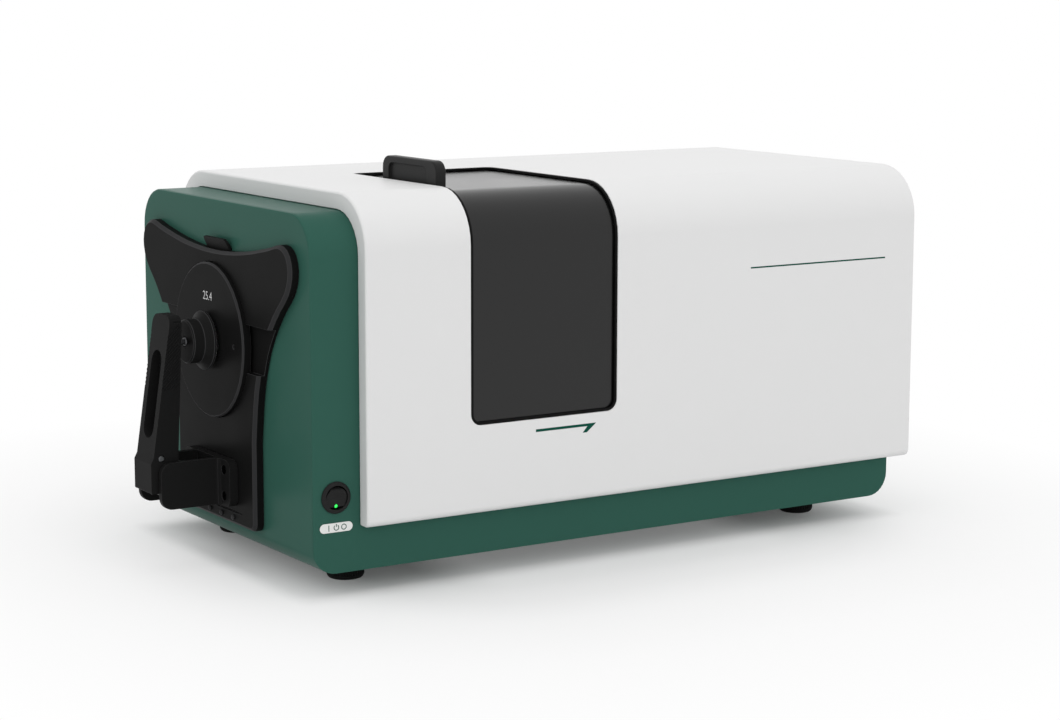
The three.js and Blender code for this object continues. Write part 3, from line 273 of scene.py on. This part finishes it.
def glass(name, colour):
    """Clear glass with faint smears."""
    roughness = GLASS["roughness"]
    material, nodes, links, shader = new_material(name, colour, roughness)
    shader.inputs["Transmission Weight"].default_value = GLASS["transmission"]
    shader.inputs["IOR"].default_value = GLASS["ior"]
    smear = noise(nodes, links, GLASS["smears"], GLASS["detail"])
    gloss = spread(nodes, links, smear, roughness, roughness + GLASS["rougher"])
    links.new(gloss, shader.inputs["Roughness"])
    return material


LENS = {"roughness": 0.25, "glow": 1.0, "coat": 0.6, "spots": 400, "detail": 1, "smooth": 0.22, "rough": 0.3}


def lit_lens(name, colour):
    """A small coloured lens with a light behind it."""
    material, nodes, links, shader = new_material(name, colour, LENS["roughness"])
    shader.inputs["Emission Color"].default_value = colour
    shader.inputs["Emission Strength"].default_value = LENS["glow"]
    shader.inputs["Coat Weight"].default_value = LENS["coat"]
    spots = noise(nodes, links, LENS["spots"], LENS["detail"])
    links.new(spread(nodes, links, spots, LENS["smooth"], LENS["rough"]), shader.inputs["Roughness"])
    return material


BOARD = {"roughness": 0.4, "cells": 160, "share": 0.35, "depth": 0.05, "strength": 0.5}


def circuit_board(name, colour):
    """Solder mask over tracks that run square to each other."""
    material, nodes, links, shader = new_material(name, colour, BOARD["roughness"])
    place_in = nodes.new("ShaderNodeTexCoord")
    cells = nodes.new("ShaderNodeTexVoronoi")
    cells.distance = "CHEBYCHEV"
    cells.inputs["Scale"].default_value = BOARD["cells"]
    links.new(place_in.outputs["Object"], cells.inputs["Vector"])
    tracks = cells.outputs["Distance"]
    links.new(tint(nodes, links, tracks, colour, BOARD["share"]), shader.inputs["Base Color"])
    bump(nodes, links, tracks, BOARD["depth"], BOARD["strength"], shader)
    return material


# Coatings: colour; roughness and specular level; grain in cells a metre, its depth in millimetres and its
# strength; patches in cells a metre and how far their tone differs
ANODISED = (0.4, 0.02, 4200, 0.03, 0.25, 30, 0.05)
COATINGS = {
    "green_paint": (BODY_GREEN, 0.3, 0.03, 2600, 0.03, 0.2, 7, 0.02),
    "white_paint": (COVER_WHITE, 0.42, 0.4, 2200, 0.03, 0.15, 6, 0.006),
    "sphere_coating": (SPHERE_WHITE, 0.9, 0.2, 3000, 0.05, 0.4, 30, 0.01),
    "black_plastic": (SWITCH_BLACK, 0.35, 0.12, 3600, 0.04, 0.3, 40, 0.06),
    "trim_plastic": (TRIM_BLACK, 0.4, 0.06, 3600, 0.04, 0.3, 40, 0.06),
    "screw_black_and_shade": (SCREW_BLACK_AND_SHADE, 0.6, 0.02, 3000, 0.03, 0.3, 40, 0.1),
    "charcoal_plastic": (DOOR_CHARCOAL, 0.22, 0.42, 3000, 0.02, 0.08, 9, 0.04),
    "handle_plastic": (HANDLE_CHARCOAL, 0.38, 0.1, 3000, 0.03, 0.2, 20, 0.04),
    "black_anodised": (ARM_BLACK, *ANODISED),
    # Painted highlight on rounded edges, and the base studs' own colour
    "anodised_highlight_and_stud": (EDGE_HIGHLIGHT_AND_STUD_GREY, *ANODISED),
    "rubber": (RUBBER_BLACK, 0.78, 0.2, 1800, 0.08, 0.5, 60, 0.1),
    "label_white": (LABEL_WHITE, 0.5, 0.4, 3000, 0.02, 0.2, 90, 0.015),
    "fibre_jacket": (RUBBER_BLACK, 0.6, 0.3, 1500, 0.06, 0.4, 50, 0.08),
    "mark_print": (MARK_GREEN, 0.5, 0.05, 3000, 0.01, 0.2, 80, 0.04),
    "pale_print": (PRINT_WHITE, 0.5, 0.4, 3000, 0.01, 0.2, 80, 0.02),
}
# Metals: colour, roughness, and how many times finer the marks are along each axis
METALS = {
    "steel": (BARE_METAL, 0.34, (1, 1, 12)),
    "dark_steel": (DARK_METAL, 0.36, (12, 1, 1)),
    "bare_aluminium": (BARE_METAL, 0.42, (14, 1, 1)),
    "mirror_glass": (MIRROR_SILVER, 0.12, (1, 40, 1)),
}
MATERIALS = {name: coating(name, *finish) for name, finish in COATINGS.items()}
MATERIALS.update({name: brushed(name, *finish) for name, finish in METALS.items()})
# Port plate and aperture disc: black anodised with a painted highlight on their chamfers
MATERIALS["plate_anodised_chamfer_highlight"] = with_chamfer_highlight("plate_anodised_chamfer_highlight", PLATE_BLACK, CHAMFER_HIGHLIGHT_GREY, *ANODISED)
MATERIALS["clear_glass"] = glass("clear_glass", GLASS_TINT)
MATERIALS["green_lens"] = lit_lens("green_lens", LIGHT_GREEN)
MATERIALS["circuit_board"] = circuit_board("circuit_board", BOARD_GREEN)

# Numbers of the pieces that come in fours: bracket screws, base studs and feet
FOUR_NUMBERS = range(1, 5)
# Pieces whose finish differs from their slot's, and pieces whose rounded edges get a paler tone as a painted
# highlight
FINISHES = {
    "door_handle": "handle_plastic",
    "door_trim": "trim_plastic",
    "port_plate": "plate_anodised_chamfer_highlight",
    "aperture_disc": "plate_anodised_chamfer_highlight",
    "arm_pin": "dark_steel",
    "chamber_liner": "black_plastic",
    "lens_barrel": "black_plastic",
}
# Bracket screws: black, and darker still as painted shade in their sockets
FINISHES.update({f"bracket_screw_{n}": "screw_black_and_shade" for n in FOUR_NUMBERS})
FINISHES.update({f"base_stud_{n}": "anodised_highlight_and_stud" for n in FOUR_NUMBERS})
EDGE_HIGHLIGHT_PIECES = ("port_plate", "aperture_disc", "bracket", "pusher")


# The construction's own pieces, with softened edges

# Widths of the rounded edges, in millimetres
EDGES = {
    "chassis": 0.7, "white_cover": 0.6, "sample_door": 0.4, "door_handle": 0.5, "port_plate": 0.35,
    "aperture_disc": 0.3, "arm": 0.45, "bracket": 0.45, "pusher": 0.3, "rear_panel": 0.3,
}
SMALL_EDGE = 0.15
EDGE_SEGMENTS = 2
SHARP_ANGLE = math.radians(28)
FLAT_ANGLE = math.radians(0.4)
WELD_GAP = 0.004
SHADING_WEIGHT = 80


def soften(obj, edge, highlight_edges=False):
    """Rounds the sharp edges of a piece, paler on the rounds as a painted highlight where asked, and shades
    the rest smooth.
    """
    for face in obj.data.polygons:
        face.use_smooth = True
    weld = obj.modifiers.new("weld", "WELD")
    weld.merge_threshold = WELD_GAP * MM
    flat = obj.modifiers.new("flat_faces", "DECIMATE")
    flat.decimate_type = "DISSOLVE"
    flat.angle_limit = FLAT_ANGLE
    round_edges = obj.modifiers.new("edges", "BEVEL")
    round_edges.limit_method = "ANGLE"
    round_edges.angle_limit = SHARP_ANGLE
    round_edges.width = edge * MM
    round_edges.segments = EDGE_SEGMENTS
    round_edges.use_clamp_overlap = True
    # The rounds take the paler material: a painted highlight
    if highlight_edges:
        obj.data.materials.append(MATERIALS["anodised_highlight_and_stud"])
        round_edges.material = 1
    even = obj.modifiers.new("even_shading", "WEIGHTED_NORMAL")
    even.keep_sharp = False
    even.weight = SHADING_WEIGHT


def dress_nodes():
    for part in frame["record"]["subparts"]:
        name = part["node"]
        node = frame["nodes"][name]
        node.data.materials.clear()
        node.data.materials.append(MATERIALS[FINISHES.get(name, part["material_slot"])])
        soften(node, EDGES.get(name, SMALL_EDGE), highlight_edges=name in EDGE_HIGHLIGHT_PIECES)


# Added pieces

PRINT_RISE = 0.05
TOUCHING = 0.001
BAND_STEPS = 24


def add_object(name, data):
    obj = bpy.data.objects.new(name, data)
    bpy.context.scene.collection.objects.link(obj)
    return obj


def piece(name, mesh, material, body):
    obj = add_object(name, mesh)
    mesh.materials.append(MATERIALS[material])
    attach(obj, body)
    return obj


def finished(model, name):
    """Turns a bmesh into a mesh with its faces pointing out."""
    bmesh.ops.recalc_face_normals(model, faces=model.faces)
    mesh = bpy.data.meshes.new(name)
    model.to_mesh(mesh)
    model.free()
    return mesh


def join_rings(model, first, second):
    """Faces between two closed rings that have as many points each."""
    for k in range(len(first)):
        n = (k + 1) % len(first)
        model.faces.new((first[k], first[n], second[n], second[k]))


def add_plate(model, outline, point_at, rise):
    """A thin plate: the outline's 2-D points laid on a face by point_at, and raised by a vector."""
    low = [model.verts.new(point_at(u, v)) for u, v in outline]
    high = [model.verts.new(point_at(u, v) + rise) for u, v in outline]
    model.faces.new(low[::-1])
    model.faces.new(high)
    join_rings(model, low, high)


def arc(radius, start, end, steps, centre=(0, 0)):
    """Points on an arc from one angle to another, in degrees."""
    turns = [math.radians(start + (end - start) * k / steps) for k in range(steps + 1)]
    return [(centre[0] + radius * math.cos(a), centre[1] + radius * math.sin(a)) for a in turns]


def add_band(model, inner, outer, start, end, centre, point_at, rise):
    """A curved band of short plates, joined into one by taking out the faces between them."""
    for k in range(BAND_STEPS):
        a = start + (end - start) * k / BAND_STEPS
        b = start + (end - start) * (k + 1) / BAND_STEPS
        corners = arc(outer, a, b, 1, centre) + arc(inner, b, a, 1, centre)
        add_plate(model, corners, point_at, rise)
    bmesh.ops.remove_doubles(model, verts=model.verts, dist=TOUCHING * MM)
    twins = [face for face in model.faces if all(len(edge.link_faces) > 2 for edge in face.edges)]
    bmesh.ops.delete(model, geom=twins, context="FACES_ONLY")


# Marks on the cover's side

ARROW = {"tail": 131.6, "tip": 181.4, "line": 82.9, "width": 1.9}
BARB = {"root": 7.4, "front": 7.7, "rear": 11.2, "drop": 5.2}
RULE = {"front": 315, "rear": 441, "line": 183.6, "width": 1.1}


def on_cover_side(x, z):
    return Vector((COVER_LOW.x + x * MM, COVER_LOW.y, BODY_LOW.z + z * MM))


def side_mark(name, outline):
    model = bmesh.new()
    add_plate(model, outline, on_cover_side, Vector((0, -PRINT_RISE * MM, 0)))
    piece(name, finished(model, name), "mark_print", "housing")


def arrow_mark():
    """The arrow with one barb that says which way the door opens."""
    tail, tip, line = ARROW["tail"], ARROW["tip"], ARROW["line"]
    low, high = line - ARROW["width"] / 2, line + ARROW["width"] / 2
    barb_low = line - BARB["drop"]
    side_mark("arrow_mark", [
        (tail, high), (tail, low), (tip - BARB["root"], low),
        (tip - BARB["rear"], barb_low), (tip - BARB["front"], barb_low), (tip, high),
    ])


def rule_mark():
    """The thin green rule near the rear end of the cover's side."""
    front, rear = RULE["front"], RULE["rear"]
    low, high = RULE["line"] - RULE["width"] / 2, RULE["line"] + RULE["width"] / 2
    side_mark("rule_mark", [(front, low), (rear, low), (rear, high), (front, high)])


# Label below the switch, with symbols for on, standby and off

LABEL_HEIGHT_SHARE = 0.72
LABEL_END_STEPS = 16
TOP = 90
SYMBOL = {"radius": 1.75, "stroke": 0.55, "apart": 5.6, "gap": 38, "standby_low": 0.4}


def on_label(y):
    """Lays points round the label's middle on a plane at y."""
    centre = middle(LABEL_LOW, LABEL_HIGH)
    return lambda x, z: Vector((centre.x + x * MM, y, centre.z + z * MM))


def label_plate():
    """The pill-shaped plate below the switch, as long as the construction's but not as tall."""
    size = (LABEL_HIGH - LABEL_LOW) / MM
    radius = size.z / 2 * LABEL_HEIGHT_SHARE
    straight = size.x / 2 - radius
    outline = arc(radius, -90, 90, LABEL_END_STEPS, (straight, 0))
    outline += arc(radius, 90, 270, LABEL_END_STEPS, (-straight, 0))
    model = bmesh.new()
    add_plate(model, outline, on_label(LABEL_HIGH.y), Vector((0, -size.y * MM, 0)))
    obj = piece("label_plate", finished(model, "label_plate"), "label_white", "housing")
    soften(obj, SMALL_EDGE)
    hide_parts("power_label")


def label_symbols():
    """An upright stroke, a broken ring with a stroke in its gap, and a ring."""
    half = SYMBOL["stroke"] / 2
    inner, outer = SYMBOL["radius"] - half, SYMBOL["radius"] + half
    apart, gap, standby_low = SYMBOL["apart"], SYMBOL["gap"], SYMBOL["standby_low"]
    point_at, rise = on_label(LABEL_LOW.y), Vector((0, -PRINT_RISE * MM, 0))
    model = bmesh.new()
    for x, low, high in ((-apart, -outer, outer), (0, standby_low, outer + standby_low)):
        stroke = [(x + half, low), (x + half, high), (x - half, high), (x - half, low)]
        add_plate(model, stroke, point_at, rise)
    for x, start, end in ((0, TOP + gap, TOP + 360 - gap), (apart, 0, 360)):
        add_band(model, inner, outer, start, end, (x, 0), point_at, rise)
    piece("label_symbols", finished(model, "label_symbols"), "mark_print", "housing")


# Number on the aperture disc

DISC_NUMBER = {"text": "25.4", "size": 8.4, "z": 169.8}


def disc_number():
    """The size of the aperture in plain figures, facing forward."""
    curve = bpy.data.curves.new("disc_number", "FONT")
    curve.body = DISC_NUMBER["text"]
    curve.size = DISC_NUMBER["size"] * MM
    curve.align_x = "CENTER"
    curve.extrude = PRINT_RISE * MM / 2
    at = place(0, 0, DISC_NUMBER["z"])
    at.x = DISC_FACE - PRINT_RISE * MM / 2
    across, up, out = Vector((0, -1, 0)), Vector((0, 0, 1)), Vector((-1, 0, 0))
    turn = Matrix((across, up, out)).transposed().to_4x4()
    shape = bpy.data.objects.new("disc_number_curve", curve)
    mesh = bpy.data.meshes.new_from_object(shape)
    mesh.name = "disc_number"
    mesh.transform(Matrix.Translation(at) @ turn)
    bpy.data.objects.remove(shape)
    piece("disc_number", mesh, "pale_print", "housing")


# Clamp arm with its fine knurling

# Sizes and heights of the added grooves, and their reach before and behind the hinge's pin
KNURL = {"pitch": 5, "first": 149.5, "count": 8, "half_height": 0.7, "depth": 0.5, "low": 112}
KNURL_ENDS = {"centre": 3.5, "rear": 8.4, "lean": 0.15, "front": -9.0}


def knurl_cutter():
    """Slanting ribs beside the arm that cut a groove between each two of the construction's grooves."""
    hinge = (middle(PIN_LOW, PIN_HIGH).x - COVER_LOW.x) / MM
    inner = ARM_HALF_WIDTH - KNURL["depth"]
    half = KNURL["half_height"]
    model = bmesh.new()
    for k in range(KNURL["count"]):
        line = KNURL["first"] - k * KNURL["pitch"] - (hinge + KNURL_ENDS["centre"])
        rear = hinge + KNURL_ENDS["rear"] - k * KNURL_ENDS["lean"]
        front = max(hinge + KNURL_ENDS["front"], KNURL["low"] - line)
        corners = [
            (front, line + front - half), (rear, line + rear - half),
            (rear, line + rear + half), (front, line + front + half),
        ]
        for side in (-1, 1):
            rise = Vector((0, side * 2 * KNURL["depth"] * MM, 0))
            add_plate(model, corners, lambda x, z: place(x, side * inner, z), rise)
    return finished(model, "knurl_cutter")


def knurled_arm():
    """The construction's arm with the fine grooves cut into its sides."""
    mesh = frame["nodes"]["arm"].data.copy()
    obj = piece("knurled_arm", mesh, "black_anodised", "arm")
    obj.data.materials.clear()
    cutter = add_object("knurl_cutter", knurl_cutter())
    cut = obj.modifiers.new("knurl", "BOOLEAN")
    cut.operation = "DIFFERENCE"
    cut.solver = "EXACT"
    cut.object = cutter
    shape = bpy.data.meshes.new_from_object(obj.evaluated_get(bpy.context.evaluated_depsgraph_get()))
    obj.modifiers.clear()
    obj.data = shape
    shape.materials.clear()
    shape.materials.append(MATERIALS["black_anodised"])
    bpy.data.objects.remove(cutter)
    # Its rounded edges get the painted highlight
    soften(obj, EDGES["arm"], highlight_edges=True)
    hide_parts("arm")


# Rubber feet with ribbed sides

FOOT_RIBS = 40
RIB_POINTS = 4
RIB_DEPTH = 0.6
# Radii of the screw's hole and of the pocket for its head; depths of the pocket's end and of the plain band
# from the foot's top; and the height in which the ribs begin and end
FOOT = {"hole": 2.3, "pocket": 4.6, "web": 6.7, "band": 2, "step": 0.4}
# The rounded rim, as distances in from the side and up from the table
FOOT_RIM = ((0, 3), (0.3, 2), (0.8, 1.1), (1.6, 0.35), (2.6, 0))


def foot_profile(radius, height):
    """The foot's outline: radius, depth from its top, and whether the ribs reach that point."""
    hole, pocket, web, band, step = (FOOT[key] for key in ("hole", "pocket", "web", "band", "step"))
    ribs_end = height - (FOOT_RIM[0][1] + step)
    top = [(hole, 0, False), (radius, 0, False), (radius, band, False)]
    ribs = [(radius, band + step, True), (radius, ribs_end, True)]
    rim = [(radius - inward, height - up, False) for inward, up in FOOT_RIM]
    under = [(pocket, height, False), (pocket, web, False), (hole, web, False)]
    return top + ribs + rim + under


def ribbed_foot(number):
    """A foot turned about its screw, with upright ribs between its plain top band and its rounded rim."""
    name = f"foot_{number}"
    low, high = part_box(name)
    centre = middle(low, high)
    profile = foot_profile((high.x - low.x) / 2 / MM, (high.z - low.z) / MM)
    model = bmesh.new()
    rings = []
    count = RIB_POINTS * FOOT_RIBS
    for k in range(count):
        angle = 2 * math.pi * k / count
        sunk = RIB_DEPTH if k % RIB_POINTS >= RIB_POINTS / 2 else 0
        ring = []
        for radius, down, ribbed in profile:
            reach = (radius - (sunk if ribbed else 0)) * MM
            x, y = centre.x + reach * math.cos(angle), centre.y + reach * math.sin(angle)
            ring.append(model.verts.new((x, y, high.z - down * MM)))
        rings.append(ring)
    for k in range(count):
        join_rings(model, rings[k], rings[(k + 1) % count])
    obj = piece(f"ribbed_{name}", finished(model, f"ribbed_{name}"), "rubber", "housing")
    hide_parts(name)


# Cross-head screws that hold the rear panel

SCREW = {"head": 3.2, "height": 1.9, "steps": 24}
CROSS = {"slot": 0.7, "reach": 2.0, "depth": 1.2, "taper": 0.8}
# The head's outline, as distances in from its side and out from the panel
SCREW_RIMS = ((0, 0), (0, 0.5), (0.35, 1.2), (0.95, SCREW["height"]))
SCREW_PLACES = [(side * y, z) for side in (-1, 1) for y, z in ((121, 60), (121, 140), (112, 222), (42, 228))]


def cross_outline():
    """The twelve corners of the cross, from the three of one arm turned by quarters."""
    half = CROSS["slot"] / 2
    arm = ((CROSS["reach"], -half), (CROSS["reach"], half), (half, half))
    quarters = ((1, 0), (0, 1), (-1, 0), (0, -1))
    return [(u * c - v * s, u * s + v * c) for c, s in quarters for u, v in arm]


def ring_edges(model, ring):
    return [model.edges.get((ring[k], ring[(k + 1) % len(ring)])) for k in range(len(ring))]


def panel_screw(number, y, z):
    """A domed screw head with a cross cut into it."""
    def at(u, v, out):
        return Vector((REAR_FACE + out * MM, (y + u) * MM, BODY_LOW.z + (z + v) * MM))

    model = bmesh.new()
    rims = []
    for inward, out in SCREW_RIMS:
        circle = arc(SCREW["head"] - inward, 0, 360, SCREW["steps"])[:-1]
        rims.append([model.verts.new(at(*point, out)) for point in circle])
    for lower, upper in zip(rims, rims[1:]):
        join_rings(model, lower, upper)
    model.faces.new(rims[0])
    cross, taper, floor_at = cross_outline(), CROSS["taper"], SCREW["height"] - CROSS["depth"]
    mouth = [model.verts.new(at(u, v, SCREW["height"])) for u, v in cross]
    pit = [model.verts.new(at(u * taper, v * taper, floor_at)) for u, v in cross]
    join_rings(model, mouth, pit)
    model.faces.new(pit)
    edges = ring_edges(model, rims[-1]) + ring_edges(model, mouth)
    bmesh.ops.triangle_fill(model, edges=edges, use_beauty=True)
    name = f"panel_screw_{number}"
    piece(name, finished(model, name), "dark_steel", "housing")


# Stage: floor, light and camera

def seen_directly(nodes, links):
    """1 for a ray from the camera, off a gloss or through glass, and 0 for a ray that lights a surface."""
    path = nodes.new("ShaderNodeLightPath")
    found = path.outputs["Is Camera Ray"]
    for kind in ("Is Glossy Ray", "Is Transmission Ray"):
        found = calculate(nodes, links, "MAXIMUM", found, path.outputs[kind])
    return found


FLOOR_SIZE = 12
FLOOR_TONE = 0.84
FLOOR_FINISH = {"roughness": 0.9, "specular": 0.1}
# How much of the floor is plain white, by distance in metres from a core that is shorter than the body at
# both ends, and how much less right beside the body, where its shadow is deepest
CORE_SHORTER = 0.14
FADE_REACH = 0.43
FADE = ((0, 0.32), (0.04, 0.12), (0.08, 0.14), (0.13, 0.43), (0.23, 0.7), (0.3, 0.8), (FADE_REACH, 1))
CONTACT = {"reach": 0.015, "share": 0.5}


def beside(nodes, links):
    """How far a point lies from the middle of the body along X and along Y."""
    position = nodes.new("ShaderNodeNewGeometry").outputs["Position"]
    centre = middle(BODY_LOW, BODY_HIGH)
    offset = calculate_vector(nodes, links, "SUBTRACT", position, (centre.x, centre.y, 0))
    return calculate_vector(nodes, links, "ABSOLUTE", offset)


def beyond(nodes, links, offset, half_x, half_y):
    """How far a point lies outside a rectangle round the middle of the body."""
    outside = calculate_vector(nodes, links, "SUBTRACT", offset, (half_x, half_y, 0))
    clear = calculate_vector(nodes, links, "MAXIMUM", outside)
    return calculate_vector(nodes, links, "LENGTH", clear)


def white_share(nodes, links):
    """The share of plain white at a point of the floor, as FADE and CONTACT say."""
    offset = beside(nodes, links)
    half = (BODY_HIGH - BODY_LOW) / 2
    core = beyond(nodes, links, offset, half.x - CORE_SHORTER, half.y)
    fade = nodes.new("ShaderNodeValToRGB")
    points = fade.color_ramp.elements
    for far, _ in FADE[1:-1]:
        points.new(far / FADE_REACH)
    for point, (far, share) in zip(points, FADE):
        point.position = far / FADE_REACH
        point.color = (share, share, share, 1)
    links.new(calculate(nodes, links, "DIVIDE", core, FADE_REACH), fade.inputs["Fac"])
    contact = nodes.new("ShaderNodeMapRange")
    contact.inputs["From Max"].default_value = CONTACT["reach"]
    contact.inputs["To Min"].default_value = CONTACT["share"]
    links.new(beyond(nodes, links, offset, half.x, half.y), contact.inputs["Value"])
    return calculate(nodes, links, "MULTIPLY", fade.outputs["Color"], contact.outputs["Result"])


def floor():
    """A pale floor that keeps the shadow near the object and turns into the white background around it."""
    s = FLOOR_SIZE
    mesh = bpy.data.meshes.new("floor")
    mesh.from_pydata([(-s, -s, 0), (s, -s, 0), (s, s, 0), (-s, s, 0)], [], [(0, 1, 2, 3)])
    obj = add_object("floor", mesh)
    tone = (FLOOR_TONE, FLOOR_TONE, FLOOR_TONE, 1)
    material, nodes, links, shader = new_material("floor", tone, FLOOR_FINISH["roughness"], 0.0,
                                                  FLOOR_FINISH["specular"])
    share = calculate(nodes, links, "MULTIPLY", white_share(nodes, links), seen_directly(nodes, links))
    white = nodes.new("ShaderNodeEmission")
    white.inputs["Color"].default_value = WHITE
    surface = mix_shaders(nodes, links, share, shader.outputs["BSDF"], white.outputs["Emission"])
    links.new(surface, nodes["Material Output"].inputs["Surface"])
    mesh.materials.append(material)


AMBIENT = 0.82
# Lamps: place, aim, width and depth in metres, and watts
LAMPS = {
    "overhead": ((0.3, -0.2, 2.6), (0, 0, 0), (2.4, 2.4), 13),
    "side_front": ((-0.5, -2.9, 1.3), (0, 0, 0.1), (2.2, 1.6), 11.5),
    "front_high": ((-2.2, -0.3, 2.2), (0, 0, 0.25), (1.6, 1.2), 4.5),
}


def world():
    """Even light from all round, seen as white by the camera and in reflections."""
    space = bpy.data.worlds.new("studio")
    bpy.context.scene.world = space
    space.use_nodes = True
    nodes, links = space.node_tree.nodes, space.node_tree.links
    light = nodes["Background"]
    light.inputs["Color"].default_value = WHITE
    light.inputs["Strength"].default_value = AMBIENT
    white = nodes.new("ShaderNodeBackground")
    white.inputs["Color"].default_value = WHITE
    white.inputs["Strength"].default_value = 1.0
    surface = mix_shaders(nodes, links, seen_directly(nodes, links), light.outputs["Background"],
                          white.outputs["Background"])
    links.new(surface, nodes["World Output"].inputs["Surface"])


def softbox(name, spot, target, size, power):
    lamp = bpy.data.lights.new(name, "AREA")
    lamp.shape = "RECTANGLE"
    lamp.size, lamp.size_y = size
    lamp.energy = power
    obj = add_object(name, lamp)
    obj.location = spot
    obj.rotation_euler = (Vector(target) - Vector(spot)).to_track_quat("-Z", "Y").to_euler()
    obj.visible_glossy = False


FOCAL_PIXELS = 2447.8
IMAGE_WIDTH = 1060
SENSOR = 36.0
FARTHEST_SEEN = 60
CAMERA_YAW = math.radians(32.691)
CAMERA_DOWN = math.radians(8.966)
CAMERA_ROLL = math.radians(0.115)
CAMERA_AT = place(-761.8, -1526.4, 391.9)


def camera():
    """The photograph's camera, as solved from the straight edges of the body."""
    data = bpy.data.cameras.new("camera")
    data.sensor_width = SENSOR
    data.lens = FOCAL_PIXELS * SENSOR / IMAGE_WIDTH
    data.clip_end = FARTHEST_SEEN
    obj = add_object("camera", data)
    level = math.cos(CAMERA_DOWN)
    look = Vector((math.sin(CAMERA_YAW) * level, math.cos(CAMERA_YAW) * level, -math.sin(CAMERA_DOWN)))
    right = look.cross(Vector((0, 0, 1))).normalized()
    up = right.cross(look)
    c, s = math.cos(CAMERA_ROLL), math.sin(CAMERA_ROLL)
    right, up = c * right + s * up, -s * right + c * up
    turn = Matrix((right, up, -look)).transposed()
    obj.matrix_world = Matrix.Translation(CAMERA_AT) @ turn.to_4x4()
    bpy.context.scene.camera = obj


camera()
dress_nodes()
knurled_arm()
arrow_mark()
rule_mark()
label_plate()
label_symbols()
disc_number()
for foot_number in FOUR_NUMBERS:
    ribbed_foot(foot_number)
for screw_number, (screw_y, screw_z) in enumerate(SCREW_PLACES, 1):
    panel_screw(screw_number, screw_y, screw_z)

floor()
world()
for lamp_name, lamp_values in LAMPS.items():
    softbox(lamp_name, *lamp_values)
bpy.context.scene.view_settings.view_transform = "Standard"
